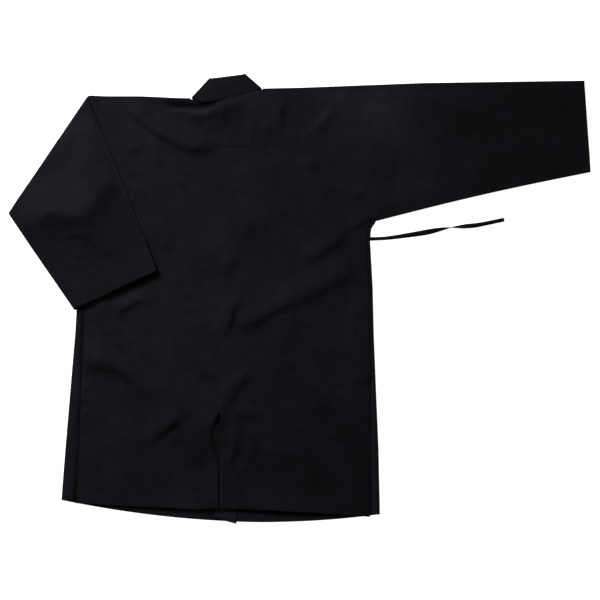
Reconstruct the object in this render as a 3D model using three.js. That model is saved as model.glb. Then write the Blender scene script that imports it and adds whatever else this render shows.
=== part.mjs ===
// Iaido gi: a plain black practice jacket, laid flat on its fronts with its back up and its left sleeve
// turned over the back. Millimetres, +Z up. X runs along the shoulders and Y towards the collar. The origin
// is the middle of the area that it covers, on the surface it lies on. Left and right are the wearer's.
import * as THREE from "three";
import { mergeVertices } from "three/addons/utils/BufferGeometryUtils.js";

const cloth = { wall: 1, collarWall: 2, tieWall: 1.2, seamGap: 0.3 };

// Height of the middle of the wall in each layer.
const layer = { bottom: 0.5, top: 3.1, overCollars: 5.2, collarBelow: 1, collarBehind: 5.7 };

// The back is high within this distance of its centre, and low past the further one.
const overCollars = { lowX: -133, highX: -147, within: 75, past: 165 };
const rollSteps = 5;

// Corners of the jacket as it lies, before the left sleeve is turned over. Both layers share them.
const place = {
  neckLeft: [-219, 399.5],
  neckDip: [-190, 378],
  neckRight: [-74.5, 418.5],
  armholeTopLeft: [-497.6, 404.4],
  armpitLeft: [-451, 144],
  cuffTopLeft: [-801.8, 404.4],
  cuffBottomLeft: [-808.4, 221],
  armholeTopRight: [243, 430.8],
  armpitRight: [153, 154.8],
  cuffTopRight: [568.2, 435.6],
  cuffBottomRight: [580.8, 252.4],
  collarTopLeft: [-180, 441.5],
  collarTopRight: [-110.5, 450],
};
const shoulder = { slopeReach: 110, seamBelow: 9 };
const underarmBow = { left: -2, right: 4 };

// Centre seam of the back, and the vent below it.
const centre = { topX: -147, lowX: -162, ventTop: -229, ventGap: 16, bowEnd: -336, closedGap: 1.2 };

// Side edges and side seams from the armpits down.
const sides = [
  { y: 150, left: -447, leftSeam: -443, rightSeam: 145, right: 149.5 },
  { y: 140, left: -441, leftSeam: -436, rightSeam: 137, right: 142.5 },
  { y: 118, left: -439, leftSeam: -433, rightSeam: 135, right: 140 },
  { y: 20, left: -444, leftSeam: -431, rightSeam: 140, right: 145.5 },
  { y: -70, left: -449.5, leftSeam: -434, rightSeam: 141, right: 147.5 },
  { y: -205, left: -461, leftSeam: -439, rightSeam: 141, right: 153 },
  { y: -300, left: -469, leftSeam: -443, rightSeam: 141, right: 157 },
  { y: -440, left: -480, leftSeam: -453, rightSeam: 141, right: 160 },
];

// The share of each panel's rows that lies above the armpit.
const armpitShare = 0.318;

const sideSlit = { top: -345, ease: 30, gap: 2.4 };

// The back's hem is straight. The fronts hang below it in the middle and end above it at the sides.
const hem = { x: -470, y: -408, slope: -0.0465, drop: 22, middle: -145, reachLeft: 300, reachRight: 270 };

// The collar's two ends at the hem, from its seam to its free edge.
const collarEnd = {
  left: { seam: [-143, -437], free: [-95, -439] },
  right: { seam: [-127, -450], free: [-171, -438.6] },
};
const cornerShare = 0.04;

// The right front is raised where it lies on the left front's edge of the collar.
const frontStep = { height: 2.4, full: 15, reach: 75 };

// The line that the left sleeve is turned over at, on the outside, and the height of the turn's axis.
const turn = { from: [-424, 404.4], to: [-581.6, 171.4], axis: 5.2, steps: 5 };
const cuffLift = { atFold: 8, atSeam: 4, reach: 70 };

// Centre lines of the ties. The twist counts half turns.
const tieWidth = 11;
const clearOfFloor = 0.1;
const tieRight = [
  { x: 141.4, y: 120, z: 1.9, twist: 0 },
  { x: 162, y: 119.6, z: 0.7, twist: 0 },
  { x: 218, y: 126.8, z: 0.7, twist: 0 },
  { x: 250, y: 132, z: 1.8, twist: 0.06 },
  { x: 275, y: 137, z: 4.7, twist: 0.26 },
  { x: 300, y: 141.5, z: 6.4, twist: 0.5 },
  { x: 323, y: 143.5, z: 5, twist: 0.72 },
  { x: 345, y: 145.5, z: 2.2, twist: 0.92 },
  { x: 364, y: 148.5, z: 0.7, twist: 1 },
  { x: 408, y: 157.8, z: 0.7, twist: 1 },
];
const tieLeft = [
  { x: -140.3, y: 106, z: 0.7, twist: 0 },
  { x: -144, y: 150, z: 0.7, twist: 0 },
  { x: -145, y: 240, z: 0.7, twist: 0 },
  { x: -140, y: 372, z: 0.7, twist: 0 },
];

// Largest folds: the two ends of each crest, its half width and its height.
const backFolds = [
  { x0: -264, y0: 372, x1: -166, y1: 370, half: 20, height: 7 },
  { x0: -166, y0: 370, x1: -112, y1: 392, half: 20, height: 6 },
  { x0: -322, y0: 376, x1: -250, y1: 320, half: 22, height: 5 },
  { x0: -250, y0: 320, x1: -172, y1: 306, half: 22, height: 5 },
  { x0: 100, y0: 62, x1: -2, y1: 8, half: 24, height: 6 },
  { x0: -2, y0: 8, x1: -102, y1: -38, half: 24, height: 5 },
  { x0: 92, y0: 124, x1: -8, y1: 56, half: 24, height: 4.5 },
  { x0: -118, y0: 10, x1: -146, y1: -66, half: 22, height: 4 },
  { x0: -75, y0: 168, x1: -168, y1: 56, half: 26, height: 3.5 },
  { x0: -430, y0: -112, x1: -346, y1: -144, half: 22, height: 4.5 },
  { x0: -346, y0: -144, x1: -306, y1: -186, half: 22, height: 4 },
  { x0: -296, y0: -272, x1: -226, y1: -234, half: 22, height: 4.5 },
  { x0: -210, y0: -248, x1: -184, y1: -300, half: 20, height: 4 },
  { x0: -132, y0: -246, x1: -138, y1: -326, half: 20, height: 4.5 },
  { x0: -158, y0: -206, x1: -108, y1: -136, half: 20, height: 3.5 },
  { x0: 44, y0: 390, x1: 20, y1: 324, half: 20, height: 3.5 },
  { x0: 30, y0: 272, x1: 138, y1: 270, half: 24, height: 3 },
];
const sleeveRightFolds = [
  { x0: 290, y0: 392, x1: 400, y1: 366, half: 32, height: 2.5 },
  { x0: 330, y0: 270, x1: 470, y1: 300, half: 34, height: 2 },
];
const sleeveLeftFolds = [
  { x0: -548, y0: 168, x1: -486, y1: 190, half: 24, height: 5 },
  { x0: -486, y0: 190, x1: -428, y1: 190, half: 26, height: 6 },
  { x0: -428, y0: 190, x1: -378, y1: 246, half: 26, height: 5 },
  { x0: -458, y0: 126, x1: -400, y1: 118, half: 20, height: 3.5 },
  { x0: -420, y0: 40, x1: -330, y1: 72, half: 28, height: 3 },
];
const foldEase = { edge: 32, side: 40, underSleeve: 28 };

const colour = { cloth: 0x15161b, collar: 0x191a1d, tie: 0x17181c };

const lerp = (a, b, t) => a + (b - a) * t;
const mix = (p, q, t) => p.map((value, i) => lerp(value, q[i], t));
const steps = (from, to, count) => Array.from({ length: count + 1 }, (_, i) => lerp(from, to, i / count));
const after = (list) => list.slice(1);
const smooth = (t) => {
  const c = Math.min(1, Math.max(0, t));
  return c * c * (3 - 2 * c);
};
const outward = { left: -1, right: 1 };
const corner = (name, side) => place[name + (side === "left" ? "Left" : "Right")];

function fromTable(table, key, y) {
  const found = table.findIndex((row) => row.y <= y);
  const next = found < 0 ? table.length - 1 : Math.max(1, found);
  const [upper, lower] = [table[next - 1], table[next]];
  return lerp(upper[key], lower[key], (upper.y - y) / (upper.y - lower.y));
}

// Where the line from one place to another is, at a height up the jacket.
const lineX = (from, to, y) => lerp(from[0], to[0], (from[1] - y) / (from[1] - to[1]));

const backHem = (x) => hem.y + hem.slope * (x - hem.x);
function frontHem(x) {
  const reach = x < hem.middle ? hem.reachLeft : hem.reachRight;
  return backHem(x) - hem.drop * (1 - ((x - hem.middle) / reach) ** 2);
}

function shoulderY(x, side) {
  const [neck, top] = [corner("neck", side), corner("armholeTop", side)];
  if (side === "left") return lerp(neck[1], top[1], smooth((neck[0] - x) / shoulder.slopeReach));
  return lerp(neck[1], top[1], (x - neck[0]) / (top[0] - neck[0]));
}

// The seam between the back and the collar.
const neckSeam = new THREE.QuadraticBezierCurve(
  new THREE.Vector2(...place.neckLeft),
  new THREE.Vector2(...place.neckDip),
  new THREE.Vector2(...place.neckRight),
);
function neckSeamY(x) {
  let [low, high] = [0, 1];
  for (let i = 0; i < 24; i++) {
    const middle = (low + high) / 2;
    if (neckSeam.getPoint(middle).x < x) low = middle;
    else high = middle;
  }
  return neckSeam.getPoint(low).y;
}

function backHeight(x, y) {
  const middle = lineX([overCollars.highX, place.neckLeft[1]], [overCollars.lowX, hem.y], y);
  const away = (Math.abs(x - middle) - overCollars.within) / (overCollars.past - overCollars.within);
  return lerp(layer.overCollars, layer.top, smooth(away));
}

// Height of a fold at a point, from its nearest distance to the crest.
function foldHeight(fold, x, y) {
  const [dx, dy] = [fold.x1 - fold.x0, fold.y1 - fold.y0];
  const along = ((x - fold.x0) * dx + (y - fold.y0) * dy) / (dx * dx + dy * dy);
  const near = Math.min(1, Math.max(0, along));
  const away = Math.hypot(x - fold.x0 - near * dx, y - fold.y0 - near * dy);
  return fold.height * Math.exp(-((away / fold.half) ** 2));
}
const relief = (folds, x, y) => Math.max(...folds.map((fold) => foldHeight(fold, x, y)));

// The round that cloth makes where it turns back on itself, from one height to another.
const roll = (z0, z1) =>
  steps(0, Math.PI, rollSteps).map((angle) => ({
    out: (Math.abs(z1 - z0) / 2) * Math.sin(angle),
    z: (z0 + z1) / 2 + ((z0 - z1) / 2) * Math.cos(angle),
    share: (1 - Math.cos(angle)) / 2,
  }));

// A piece starts as a net of points in the middle of its wall: x, y, z and its share of the folds' height.
function net(rows, closed = false) {
  const points = [];
  const index = rows.map((row) => row.map((point) => (point ? points.push(point) - 1 : -1)));
  const faces = [];
  for (let i = 0; i + 1 < rows.length; i++) {
    const width = Math.min(rows[i].length, rows[i + 1].length);
    for (let j = 0; j < (closed ? width : width - 1); j++) {
      const k = (j + 1) % width;
      const [a, b, c, d] = [index[i][j], index[i][k], index[i + 1][k], index[i + 1][j]];
      if (Math.min(a, b, c, d) >= 0) faces.push([a, b, c], [a, c, d]);
    }
  }
  return { points, faces };
}

// Rows of places that fill the space between four edges, each a function from 0..1 to [x, y].
function filled(edges, us, vs) {
  const { left, right, top, bottom } = edges;
  return vs.map((v) =>
    us.map((u) => {
      const across = mix(left(v), right(v), u);
      const down = mix(top(u), bottom(u), v);
      const corners = mix(mix(left(0), right(0), u), mix(left(1), right(1), u), v);
      return across.map((value, i) => value + down[i] - corners[i]);
    }),
  );
}

function folded(sheet, folds) {
  sheet.points = sheet.points.map(([x, y, z, lift]) => [x, y, z + lift * relief(folds, x, y)]);
  return sheet;
}

// Gives a net its wall, half to each side, closed round the edges.
function walled(sheet, wall) {
  const flat = new THREE.BufferGeometry();
  const places = sheet.points.flatMap((point) => point.slice(0, 3));
  flat.setAttribute("position", new THREE.Float32BufferAttribute(places, 3));
  flat.setIndex(sheet.faces.flat());
  const welded = mergeVertices(flat, 1e-3);
  welded.computeVertexNormals();
  const { position, normal } = welded.attributes;
  const positions = [];
  for (const offset of [wall / 2, -wall / 2]) {
    for (let i = 0; i < position.count; i++) {
      const point = new THREE.Vector3().fromBufferAttribute(position, i);
      const facing = new THREE.Vector3().fromBufferAttribute(normal, i);
      positions.push(...point.addScaledVector(facing, offset).toArray());
    }
  }
  const triangles = [];
  const rim = new Map();
  const index = welded.index.array;
  const other = (i) => i + position.count;
  for (let i = 0; i < index.length; i += 3) {
    const [a, b, c] = index.slice(i, i + 3);
    if (a === b || b === c || c === a) continue;
    triangles.push(a, b, c, other(a), other(c), other(b));
    for (const [from, to] of [[a, b], [b, c], [c, a]]) {
      if (!rim.delete(to + " " + from)) rim.set(from + " " + to, [from, to]);
    }
  }
  for (const [from, to] of rim.values()) {
    triangles.push(to, from, other(to), from, other(from), other(to));
  }
  const body = new THREE.BufferGeometry();
  body.setAttribute("position", new THREE.Float32BufferAttribute(positions, 3));
  body.setIndex(triangles);
  return body;
}

// The turn of the left sleeve. Its radius is that of the middle between the two layers.
const turnRadius = turn.axis - (layer.bottom + layer.top) / 2;
const turnLong = Math.hypot(turn.to[0] - turn.from[0], turn.to[1] - turn.from[1]);
const turnOut = [(turn.to[1] - turn.from[1]) / turnLong, (turn.from[0] - turn.to[0]) / turnLong];
const pastTurn = ([x, y]) => (x - turn.from[0]) * turnOut[0] + (y - turn.from[1]) * turnOut[1];
const mirrored = ([x, y]) => [x - 2 * pastTurn([x, y]) * turnOut[0], y - 2 * pastTurn([x, y]) * turnOut[1]];

// Carries a point of the flat jacket round the turn and back over the body.
function turned([x, y, z, lift]) {
  const past = pastTurn([x, y]) + turn.axis;
  if (past <= 0) return [x, y, z, lift];
  const angle = Math.min(Math.PI, past / turnRadius);
  const rest = Math.max(0, past - Math.PI * turnRadius);
  const out = (turn.axis - z) * Math.sin(angle) - rest - past;
  return [x + turnOut[0] * out, y + turnOut[1] * out, turn.axis - (turn.axis - z) * Math.cos(angle), lift];
}

// Adds points to a net along the line at this distance past the start of the turn.
function split(sheet, distance) {
  const close = 0.6;
  const side = sheet.points.map((point) => {
    const away = pastTurn(point) + turn.axis - distance;
    return Math.abs(away) < close ? 0 : away;
  });
  const crossing = new Map();
  const between = (a, b) => {
    const key = Math.min(a, b) + " " + Math.max(a, b);
    if (!crossing.has(key)) {
      side.push(0);
      const point = mix(sheet.points[a], sheet.points[b], side[a] / (side[a] - side[b]));
      crossing.set(key, sheet.points.push(point) - 1);
    }
    return crossing.get(key);
  };
  sheet.faces = sheet.faces.flatMap((face) => {
    if (!(face.some((i) => side[i] > 0) && face.some((i) => side[i] < 0))) return [face];
    const [past, before] = [[], []];
    face.forEach((a, i) => {
      const b = face[(i + 1) % 3];
      if (side[a] >= 0) past.push(a);
      if (side[a] <= 0) before.push(a);
      if (side[a] * side[b] < 0) {
        past.push(between(a, b));
        before.push(between(a, b));
      }
    });
    return [past, before].flatMap((loop) => loop.slice(2).map((c, i) => [loop[0], loop[i + 1], c]));
  });
}

function turnedOver(sheet) {
  for (const share of steps(0, 1, turn.steps)) split(sheet, share * Math.PI * turnRadius);
  sheet.points = sheet.points.map(turned);
  return sheet;
}

// The back's folds stay low where the turned sleeve lies on it.
function clearOfSleeve(x, y) {
  const [top, foldEnd, seamEnd] = ["armholeTop", "cuffTop", "cuffBottom"].map((name) => mirrored(corner(name, "left")));
  const outside = (from, to) => {
    const [dx, dy] = [to[0] - from[0], to[1] - from[1]];
    return ((y - from[1]) * dx - (x - from[0]) * dy) / Math.hypot(dx, dy);
  };
  return smooth((Math.max(outside(top, foldEnd), outside(foldEnd, seamEnd)) - 4) / foldEase.underSleeve);
}

const armholeX = (side, y) => lineX(corner("armholeTop", side), corner("armpit", side), y);

// Heights down an outer edge, with the armpit at the same share on every panel.
function outerY(side, from, to, v) {
  const [, armpit] = corner("armpit", side);
  if (v <= armpitShare) return lerp(from, armpit, v / armpitShare);
  return lerp(armpit, to, (v - armpitShare) / (1 - armpitShare));
}
const panelRows = (above, below) => [
  ...steps(0, armpitShare, above),
  armpitShare + 0.006,
  armpitShare + 0.022,
  ...steps(armpitShare + 0.045, 1, below),
];

const edgeInset = (layer.top - layer.bottom) / 2 + cloth.wall / 2;

// Half of the back, turned over the shoulder to its seam with the front.
function backPanel(side) {
  const sign = outward[side];
  const [neck, top, armpit] = ["neck", "armholeTop", "armpit"].map((name) => corner(name, side));
  const outerX = (y) => {
    if (y >= armpit[1]) return armholeX(side, y) - (sign * cloth.seamGap) / 2;
    const slit = (smooth((sideSlit.top - y) / sideSlit.ease) * sideSlit.gap) / 2;
    return fromTable(sides, side + "Seam", y) - sign * (cloth.seamGap / 2 + slit);
  };
  const innerX = (y) => {
    const [neckEnd, ventEnd] = [[centre.topX, place.neckLeft[1]], [centre.lowX, centre.ventTop]];
    const seam = lineX(neckEnd, ventEnd, Math.max(y, centre.ventTop));
    if (y > centre.ventTop) return seam + (sign * cloth.seamGap) / 2;
    const down = (centre.ventTop - y) / (centre.ventTop - centre.bowEnd);
    const bow = side === "left" && down < 1 ? centre.ventGap * Math.sin(Math.PI * down) : 0;
    return seam + (sign * centre.closedGap) / 2 - bow;
  };
  const topOuter = shoulderY(top[0], side) - edgeInset;
  const topInner = neckSeamY(centre.topX) - cloth.seamGap;
  const left = (v) => {
    const y = outerY(side, topOuter, backHem(fromTable(sides, side + "Seam", hem.y)), v);
    return [outerX(y), y];
  };
  const right = (v) => {
    const y = lerp(topInner, backHem(centre.lowX), v);
    return [innerX(y), y];
  };
  const neckShare = (neck[0] - top[0]) / (centre.topX - top[0]);
  const overShoulder = (u) => u <= neckShare + 1e-6;
  const topEdge = (u) => {
    const x = lerp(left(0)[0], right(0)[0], u);
    return [x, overShoulder(u) ? shoulderY(x, side) - edgeInset : neckSeamY(x) - cloth.seamGap];
  };
  const bottom = (u) => {
    const x = lerp(left(1)[0], right(1)[0], u);
    return [x, backHem(x)];
  };
  const us = [...steps(0, neckShare, 12), ...after(steps(neckShare, 1, 5))];
  const places = filled({ left, right, top: topEdge, bottom }, us, panelRows(12, 24));
  const rows = places.map((row) =>
    row.map(([x, y], j) => {
      const fromSide = y < armpit[1] ? Math.abs(x - outerX(y)) : foldEase.side;
      const fromTop = overShoulder(us[j]) ? shoulderY(x, side) - y - 4 : 3 * (neckSeamY(x) - y);
      const lift = smooth(fromSide / foldEase.side) * smooth(fromTop / foldEase.edge) * clearOfSleeve(x, y);
      return [x, y, backHeight(x, y), lift];
    }),
  );
  const round = steps(0, rollSteps, rollSteps).map((k) =>
    rows[0].map(([x, y, z], j) => {
      const step = roll(layer.bottom, z)[k];
      return overShoulder(us[j]) ? [x, y + step.out, step.z, 0] : null;
    }),
  );
  const tuck = shoulder.seamBelow - edgeInset - cloth.seamGap;
  const armholeLean = armholeX(side, topOuter - tuck) - armholeX(side, topOuter);
  const under = round[0].map((point, j) => {
    if (!point) return null;
    return [point[0] + armholeLean * (1 - us[j] / neckShare), point[1] - tuck, point[2], 0];
  });
  return net([under, ...round.slice(0, -1), ...rows]);
}

// Where the collar's band turns back at the two ends of the neck, inside the round that it makes there.
function collarFold(side) {
  const [seam, free] = [corner("neck", side), corner("collarTop", side)];
  const long = Math.hypot(free[0] - seam[0], free[1] - seam[1]);
  const out = [(-outward[side] * -(free[1] - seam[1])) / long, Math.abs(free[0] - seam[0]) / long];
  const inset = (layer.collarBehind - layer.collarBelow) / 2 + cloth.collarWall / 2;
  const inside = (point) => point.map((value, i) => value - out[i] * inset);
  return { out, seam: inside(mix(seam, free, cornerShare)), free: inside(free) };
}
const collarFolds = { left: collarFold("left"), right: collarFold("right") };
const collarX = (side, edge, y) => lineX(collarFolds[side][edge], collarEnd[side][edge], y);

function frontRise(x, y) {
  const past = x - collarX("left", "free", y);
  return frontStep.height * smooth((frontStep.reach - past) / (frontStep.reach - frontStep.full));
}

// A front, from its seam under the shoulder to the hem, and round the side to its seam on the back.
function frontPanel(side) {
  const sign = outward[side];
  const [neck, top, armpit] = ["neck", "armholeTop", "armpit"].map((name) => corner(name, side));
  const outerX = (y) => {
    if (y >= armpit[1]) return armholeX(side, y) - (sign * cloth.seamGap) / 2;
    return fromTable(sides, side, y) - sign * edgeInset;
  };
  const innerX = (y) => collarX(side, "seam", y) + sign * cloth.seamGap;
  const topOuter = shoulderY(top[0], side) - shoulder.seamBelow;
  const topInner = shoulderY(neck[0], side) - shoulder.seamBelow;
  const left = (v) => {
    const y = outerY(side, topOuter, frontHem(fromTable(sides, side, hem.y)), v);
    return [outerX(y), y];
  };
  const right = (v) => {
    const y = lerp(topInner, frontHem(collarEnd[side].seam[0]), v);
    return [innerX(y), y];
  };
  const topEdge = (u) => {
    const x = lerp(left(0)[0], right(0)[0], u);
    return [x, shoulderY(x, side) - shoulder.seamBelow];
  };
  const bottom = (u) => {
    const x = lerp(left(1)[0], right(1)[0], u);
    return [x, frontHem(x)];
  };
  const vs = panelRows(6, 12);
  const places = filled({ left, right, top: topEdge, bottom }, steps(0, 1, 8), vs);
  const rows = places.map((row, i) => {
    const rise = side === "left" ? () => 0 : frontRise;
    const flat = row.map(([x, y]) => [x, y, layer.bottom + rise(x, y), 0]).reverse();
    if (vs[i] <= armpitShare + 1e-6) return flat;
    const [x, y] = row[0];
    const slit = (smooth((sideSlit.top - y) / sideSlit.ease) * sideSlit.gap) / 2;
    const seam = fromTable(sides, side + "Seam", y) + sign * (cloth.seamGap / 2 + slit);
    const round = roll(layer.bottom, layer.top).map(({ out, z }) => [x + sign * out, y, z, 0]);
    const strip = steps(0, 1, 2).map((t) => [lerp(x, seam, t), y, layer.top, 0]);
    return [...flat, ...after(round), ...after(strip)];
  });
  return net(rows);
}

// A sleeve: a tube that lies flat, folded along the top and sewn along the underarm.
function sleeve(side, showing) {
  const sign = outward[side];
  const [top, armpit] = [corner("armholeTop", side), corner("armpit", side)];
  const [cuffTop, cuffBottom] = [corner("cuffTop", side), corner("cuffBottom", side)];
  const [across, acrossUnder] = showing === "below" ? [5, 8] : [7, 4];
  const rings = steps(0, 1, 13).map((u) => {
    const upper = mix(top, cuffTop, u);
    const lower = mix(armpit, cuffBottom, u);
    lower[1] += underarmBow[side] * Math.sin(Math.PI * u);
    const long = Math.hypot(lower[0] - upper[0], lower[1] - upper[1]);
    const inset = edgeInset / long;
    const fromCuff = (1 - u) * Math.abs(cuffTop[0] - top[0]);
    const open = smooth(1 - fromCuff / cuffLift.reach);
    const at = (share, z, lift, raised) => {
      const [x, y] = mix(upper, lower, share);
      const away = Math.min(share, 1 - share) * long;
      const gape = showing === "below" ? open * raised * lerp(cuffLift.atFold, cuffLift.atSeam, share) : 0;
      return [x + (sign * cloth.seamGap) / 2, y, z - gape, lift * smooth((away - 4) / foldEase.edge)];
    };
    const [above, below] = showing === "below" ? [0, 1] : [1, 0];
    const underarm = after(roll(layer.top, layer.bottom));
    const topFold = after(roll(layer.bottom, layer.top)).slice(0, -1);
    return [
      ...steps(inset, 1 - inset, across).map((share) => at(share, layer.top, above, 0)),
      ...underarm.map(({ out, z, share }) => at(1 - inset + out / long, z, 0, share)),
      ...after(steps(1 - inset, inset, acrossUnder)).map((share) => at(share, layer.bottom, below, 1)),
      ...topFold.map(({ out, z, share }) => at(inset - out / long, z, 0, 1 - share)),
    ];
  });
  return net(rings, true);
}

// The collar: a doubled band from the left front's hem, round the neck and down the right front.
function collarBand() {
  const across = steps(0, 1, 4);
  const frontHeight = { left: () => layer.collarBelow, right: (x, y) => layer.collarBelow + frontRise(x, y) };
  const frontRows = (side) =>
    steps(0, 1, 14).map((v) => {
      const seam = mix(collarEnd[side].seam, collarFolds[side].seam, v);
      const free = mix(collarEnd[side].free, collarFolds[side].free, v);
      return across.map((t) => {
        const [x, y] = mix(seam, free, t);
        return [x, y, frontHeight[side](x, y)];
      });
    });
  const [leftRows, rightRows] = [frontRows("left"), frontRows("right")];
  const behind = steps(0, 1, 9).map((v) => {
    const seam = mix(collarFolds.left.seam, collarFolds.right.seam, v);
    const free = mix(collarFolds.left.free, collarFolds.right.free, v);
    const ends = Math.min(v, 1 - v);
    seam[1] = lerp(seam[1], neckSeamY(seam[0]) + cloth.seamGap, smooth(ends * 8));
    return across.map((t) => [...mix(seam, free, t), layer.collarBehind]);
  });
  const turnBack = (row, side) =>
    steps(1, rollSteps - 1, rollSteps - 2).map((k) =>
      row.map(([x, y, z]) => {
        const step = roll(z, layer.collarBehind)[k];
        const { out } = collarFolds[side];
        return [x + out[0] * step.out, y + out[1] * step.out, step.z];
      }),
    );
  return net([
    ...leftRows,
    ...turnBack(leftRows.at(-1), "left"),
    ...behind,
    ...turnBack(rightRows.at(-1), "right").reverse(),
    ...rightRows.reverse(),
  ]);
}

// A flat tie, along a smooth line through its places, kept above the surface where it is twisted.
function tie(table) {
  const route = new THREE.CatmullRomCurve3(table.map(({ x, y, z }) => new THREE.Vector3(x, y, z)));
  const perStretch = 3;
  const rows = steps(0, 1, (table.length - 1) * perStretch).map((u, i) => {
    const centreLine = route.getPoint(u);
    const along = route.getTangent(u).setZ(0).normalize();
    const stretch = Math.min(table.length - 2, Math.floor(i / perStretch));
    const twist = Math.PI * lerp(table[stretch].twist, table[stretch + 1].twist, i / perStretch - stretch);
    const [flat, upright] = [Math.abs(Math.cos(twist)), Math.abs(Math.sin(twist))];
    const z = Math.max(centreLine.z, (tieWidth * upright + cloth.tieWall * flat) / 2 + clearOfFloor);
    return steps(-tieWidth / 2, tieWidth / 2, 2).map((out) => [
      centreLine.x - along.y * out * Math.cos(twist),
      centreLine.y + along.x * out * Math.cos(twist),
      z + out * Math.sin(twist),
    ]);
  });
  return net(rows);
}

const group = new THREE.Group();
function add(name, geometry, color) {
  const finish = new THREE.MeshStandardMaterial({ color, roughness: 0.9, metalness: 0 });
  const mesh = new THREE.Mesh(geometry, finish);
  mesh.name = name;
  group.add(mesh);
}

const sleeveLeft = folded(turnedOver(sleeve("left", "below")), sleeveLeftFolds);
const sleeveRight = folded(sleeve("right", "above"), sleeveRightFolds);
add("back_left", walled(folded(turnedOver(backPanel("left")), backFolds), cloth.wall), colour.cloth);
add("back_right", walled(folded(backPanel("right"), backFolds), cloth.wall), colour.cloth);
add("front_left", walled(turnedOver(frontPanel("left")), cloth.wall), colour.cloth);
add("front_right", walled(frontPanel("right"), cloth.wall), colour.cloth);
add("sleeve_left", walled(sleeveLeft, cloth.wall), colour.cloth);
add("sleeve_right", walled(sleeveRight, cloth.wall), colour.cloth);
add("collar", walled(collarBand(), cloth.collarWall), colour.collar);
add("tie_right", walled(tie(tieRight), cloth.tieWall), colour.tie);
add("tie_left", walled(tie(tieLeft), cloth.tieWall), colour.tie);

export default group;
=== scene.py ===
import math
from functools import partial

import bmesh
import bpy
import numpy as np
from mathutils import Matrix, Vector
from mathutils.bvhtree import BVHTree


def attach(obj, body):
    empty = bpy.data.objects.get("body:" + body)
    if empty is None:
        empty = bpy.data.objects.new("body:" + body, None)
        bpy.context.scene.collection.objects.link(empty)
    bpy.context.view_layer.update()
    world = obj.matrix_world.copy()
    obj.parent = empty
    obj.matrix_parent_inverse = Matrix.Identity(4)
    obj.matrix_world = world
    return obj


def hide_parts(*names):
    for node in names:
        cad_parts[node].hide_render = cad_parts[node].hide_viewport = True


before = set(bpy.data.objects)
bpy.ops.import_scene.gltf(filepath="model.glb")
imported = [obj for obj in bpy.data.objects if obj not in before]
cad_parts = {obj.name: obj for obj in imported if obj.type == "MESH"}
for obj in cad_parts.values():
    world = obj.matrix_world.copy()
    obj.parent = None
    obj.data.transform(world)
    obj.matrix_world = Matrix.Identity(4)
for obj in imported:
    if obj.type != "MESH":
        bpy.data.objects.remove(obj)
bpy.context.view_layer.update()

toMetres = 0.001

gi = {
    "wall": 1.0, "collarWall": 2.0, "tieWall": 1.2,
    "seamGap": -0.3,  # the pieces meet at their seams
    "underCollar": 7,  # how far the back goes on under the collar
    "bottom": 0.5, "top": 3.1, "overCollars": 5.2,  # heights of the middle of the cloth in each layer
    "collarBelow": 1.0, "collarBehind": 5.7,
    "overCollarRun": {"topX": -147, "lowX": -133, "half": 75, "ease": 90},  # where the back lies over the collars
    "shoulderReach": 110,
    "shoulderSeamBelow": 9,
    "armpitShare": 0.318,  # share of a panel's rows that is above the armpit
    "slitTop": -345, "slitEase": 30, "slitGap": 2.4,
    "gridStep": 4.0, "fineStep": 2, "rollSteps": 8,
    "keepAbove": -0.3,  # how far below its layer a trough may go
}
place = {
    "neckLeft": (-219, 399.5), "neckDip": (-190, 378), "neckRight": (-74.5, 418.5),
    "armholeTopLeft": (-497.6, 404.4), "armholeTopRight": (243, 430.8),
    "armpitLeft": (-451, 144), "armpitRight": (153, 154.8),
    "cuffTopLeft": (-801.8, 404.4), "cuffTopRight": (568.2, 435.6),
    "cuffBottomLeft": (-808.4, 221), "cuffBottomRight": (580.8, 252.4),
    "collarTopLeft": (-180, 441.5), "collarTopRight": (-110.5, 450),
    "collarSeamEndLeft": (-143, -437), "collarSeamEndRight": (-127, -450),
    "collarFreeEndLeft": (-95, -439), "collarFreeEndRight": (-171, -438.6),
}
centre = {
    "topX": -147, "lowX": -162, "ventTop": -229, "bowEnd": -324,
    "bow": 13,  # how far the vent's edge bows to the left
    "closedGap": 2.6, "bowGap": 0.7, "gapFrom": 5, "gapTo": 1.2, "gapEase": 4,
    "hole": (5.5, 0.12, 0.13),  # the dark opening at the vent's top: how wide, how far down, its reach
    "facingBelow": 15, "facingEase": 9,
}
hem = {
    "x": -470, "y": -408, "slope": -0.0465, "drop": 22, "middle": -145, "reachLeft": 300, "reachRight": 270,
    "drawnUp": [(-206, 0), (-170, 4), (-144, 5), (-72, 5.4), (0, 4), (72, 3), (104, 2), (140, 0)],
}
sideHeights = (150, 140, 118, 20, -70, -205, -300, -440)
sides = {
    "left": (-447, -441, -439, -444, -449.5, -461, -469, -480),
    "leftSeam": (-443, -436, -433, -431, -434, -439, -443, -453),
    "rightSeam": (145, 137, 135, 140, 141, 141, 141, 141),
    "right": (149.5, 142.5, 140, 145.5, 147.5, 153, 157, 160),
}
sleeveCorners = ("armholeTop", "cuffTop", "armpit", "cuffBottom")
outward = {"left": -1, "right": 1}
edgeInset = (gi["top"] - gi["bottom"]) / 2 + gi["wall"] / 2


def lerp(a, b, t):
    return a + (b - a) * t


def smooth(t):
    t = np.clip(t, 0, 1)
    return t * t * (3 - 2 * t)


def groove(away, half):
    return np.exp(-((away / half) ** 2))


# The value at x in a table of places and values.
def lookUp(x, table):
    return np.interp(x, *zip(*table))


def pair(name, side=""):
    return np.array(place[name + side.capitalize()], float)


def lineX(start, end, y):
    return lerp(start[0], end[0], (start[1] - y) / (start[1] - end[1]))


def sideX(column, y):
    heights, xs = np.array(sideHeights, float), np.array(sides[column], float)
    k = np.clip(np.searchsorted(-heights, -np.asarray(y, float)), 1, len(heights) - 1)
    return lerp(xs[k - 1], xs[k], (heights[k - 1] - y) / (heights[k - 1] - heights[k]))


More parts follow.
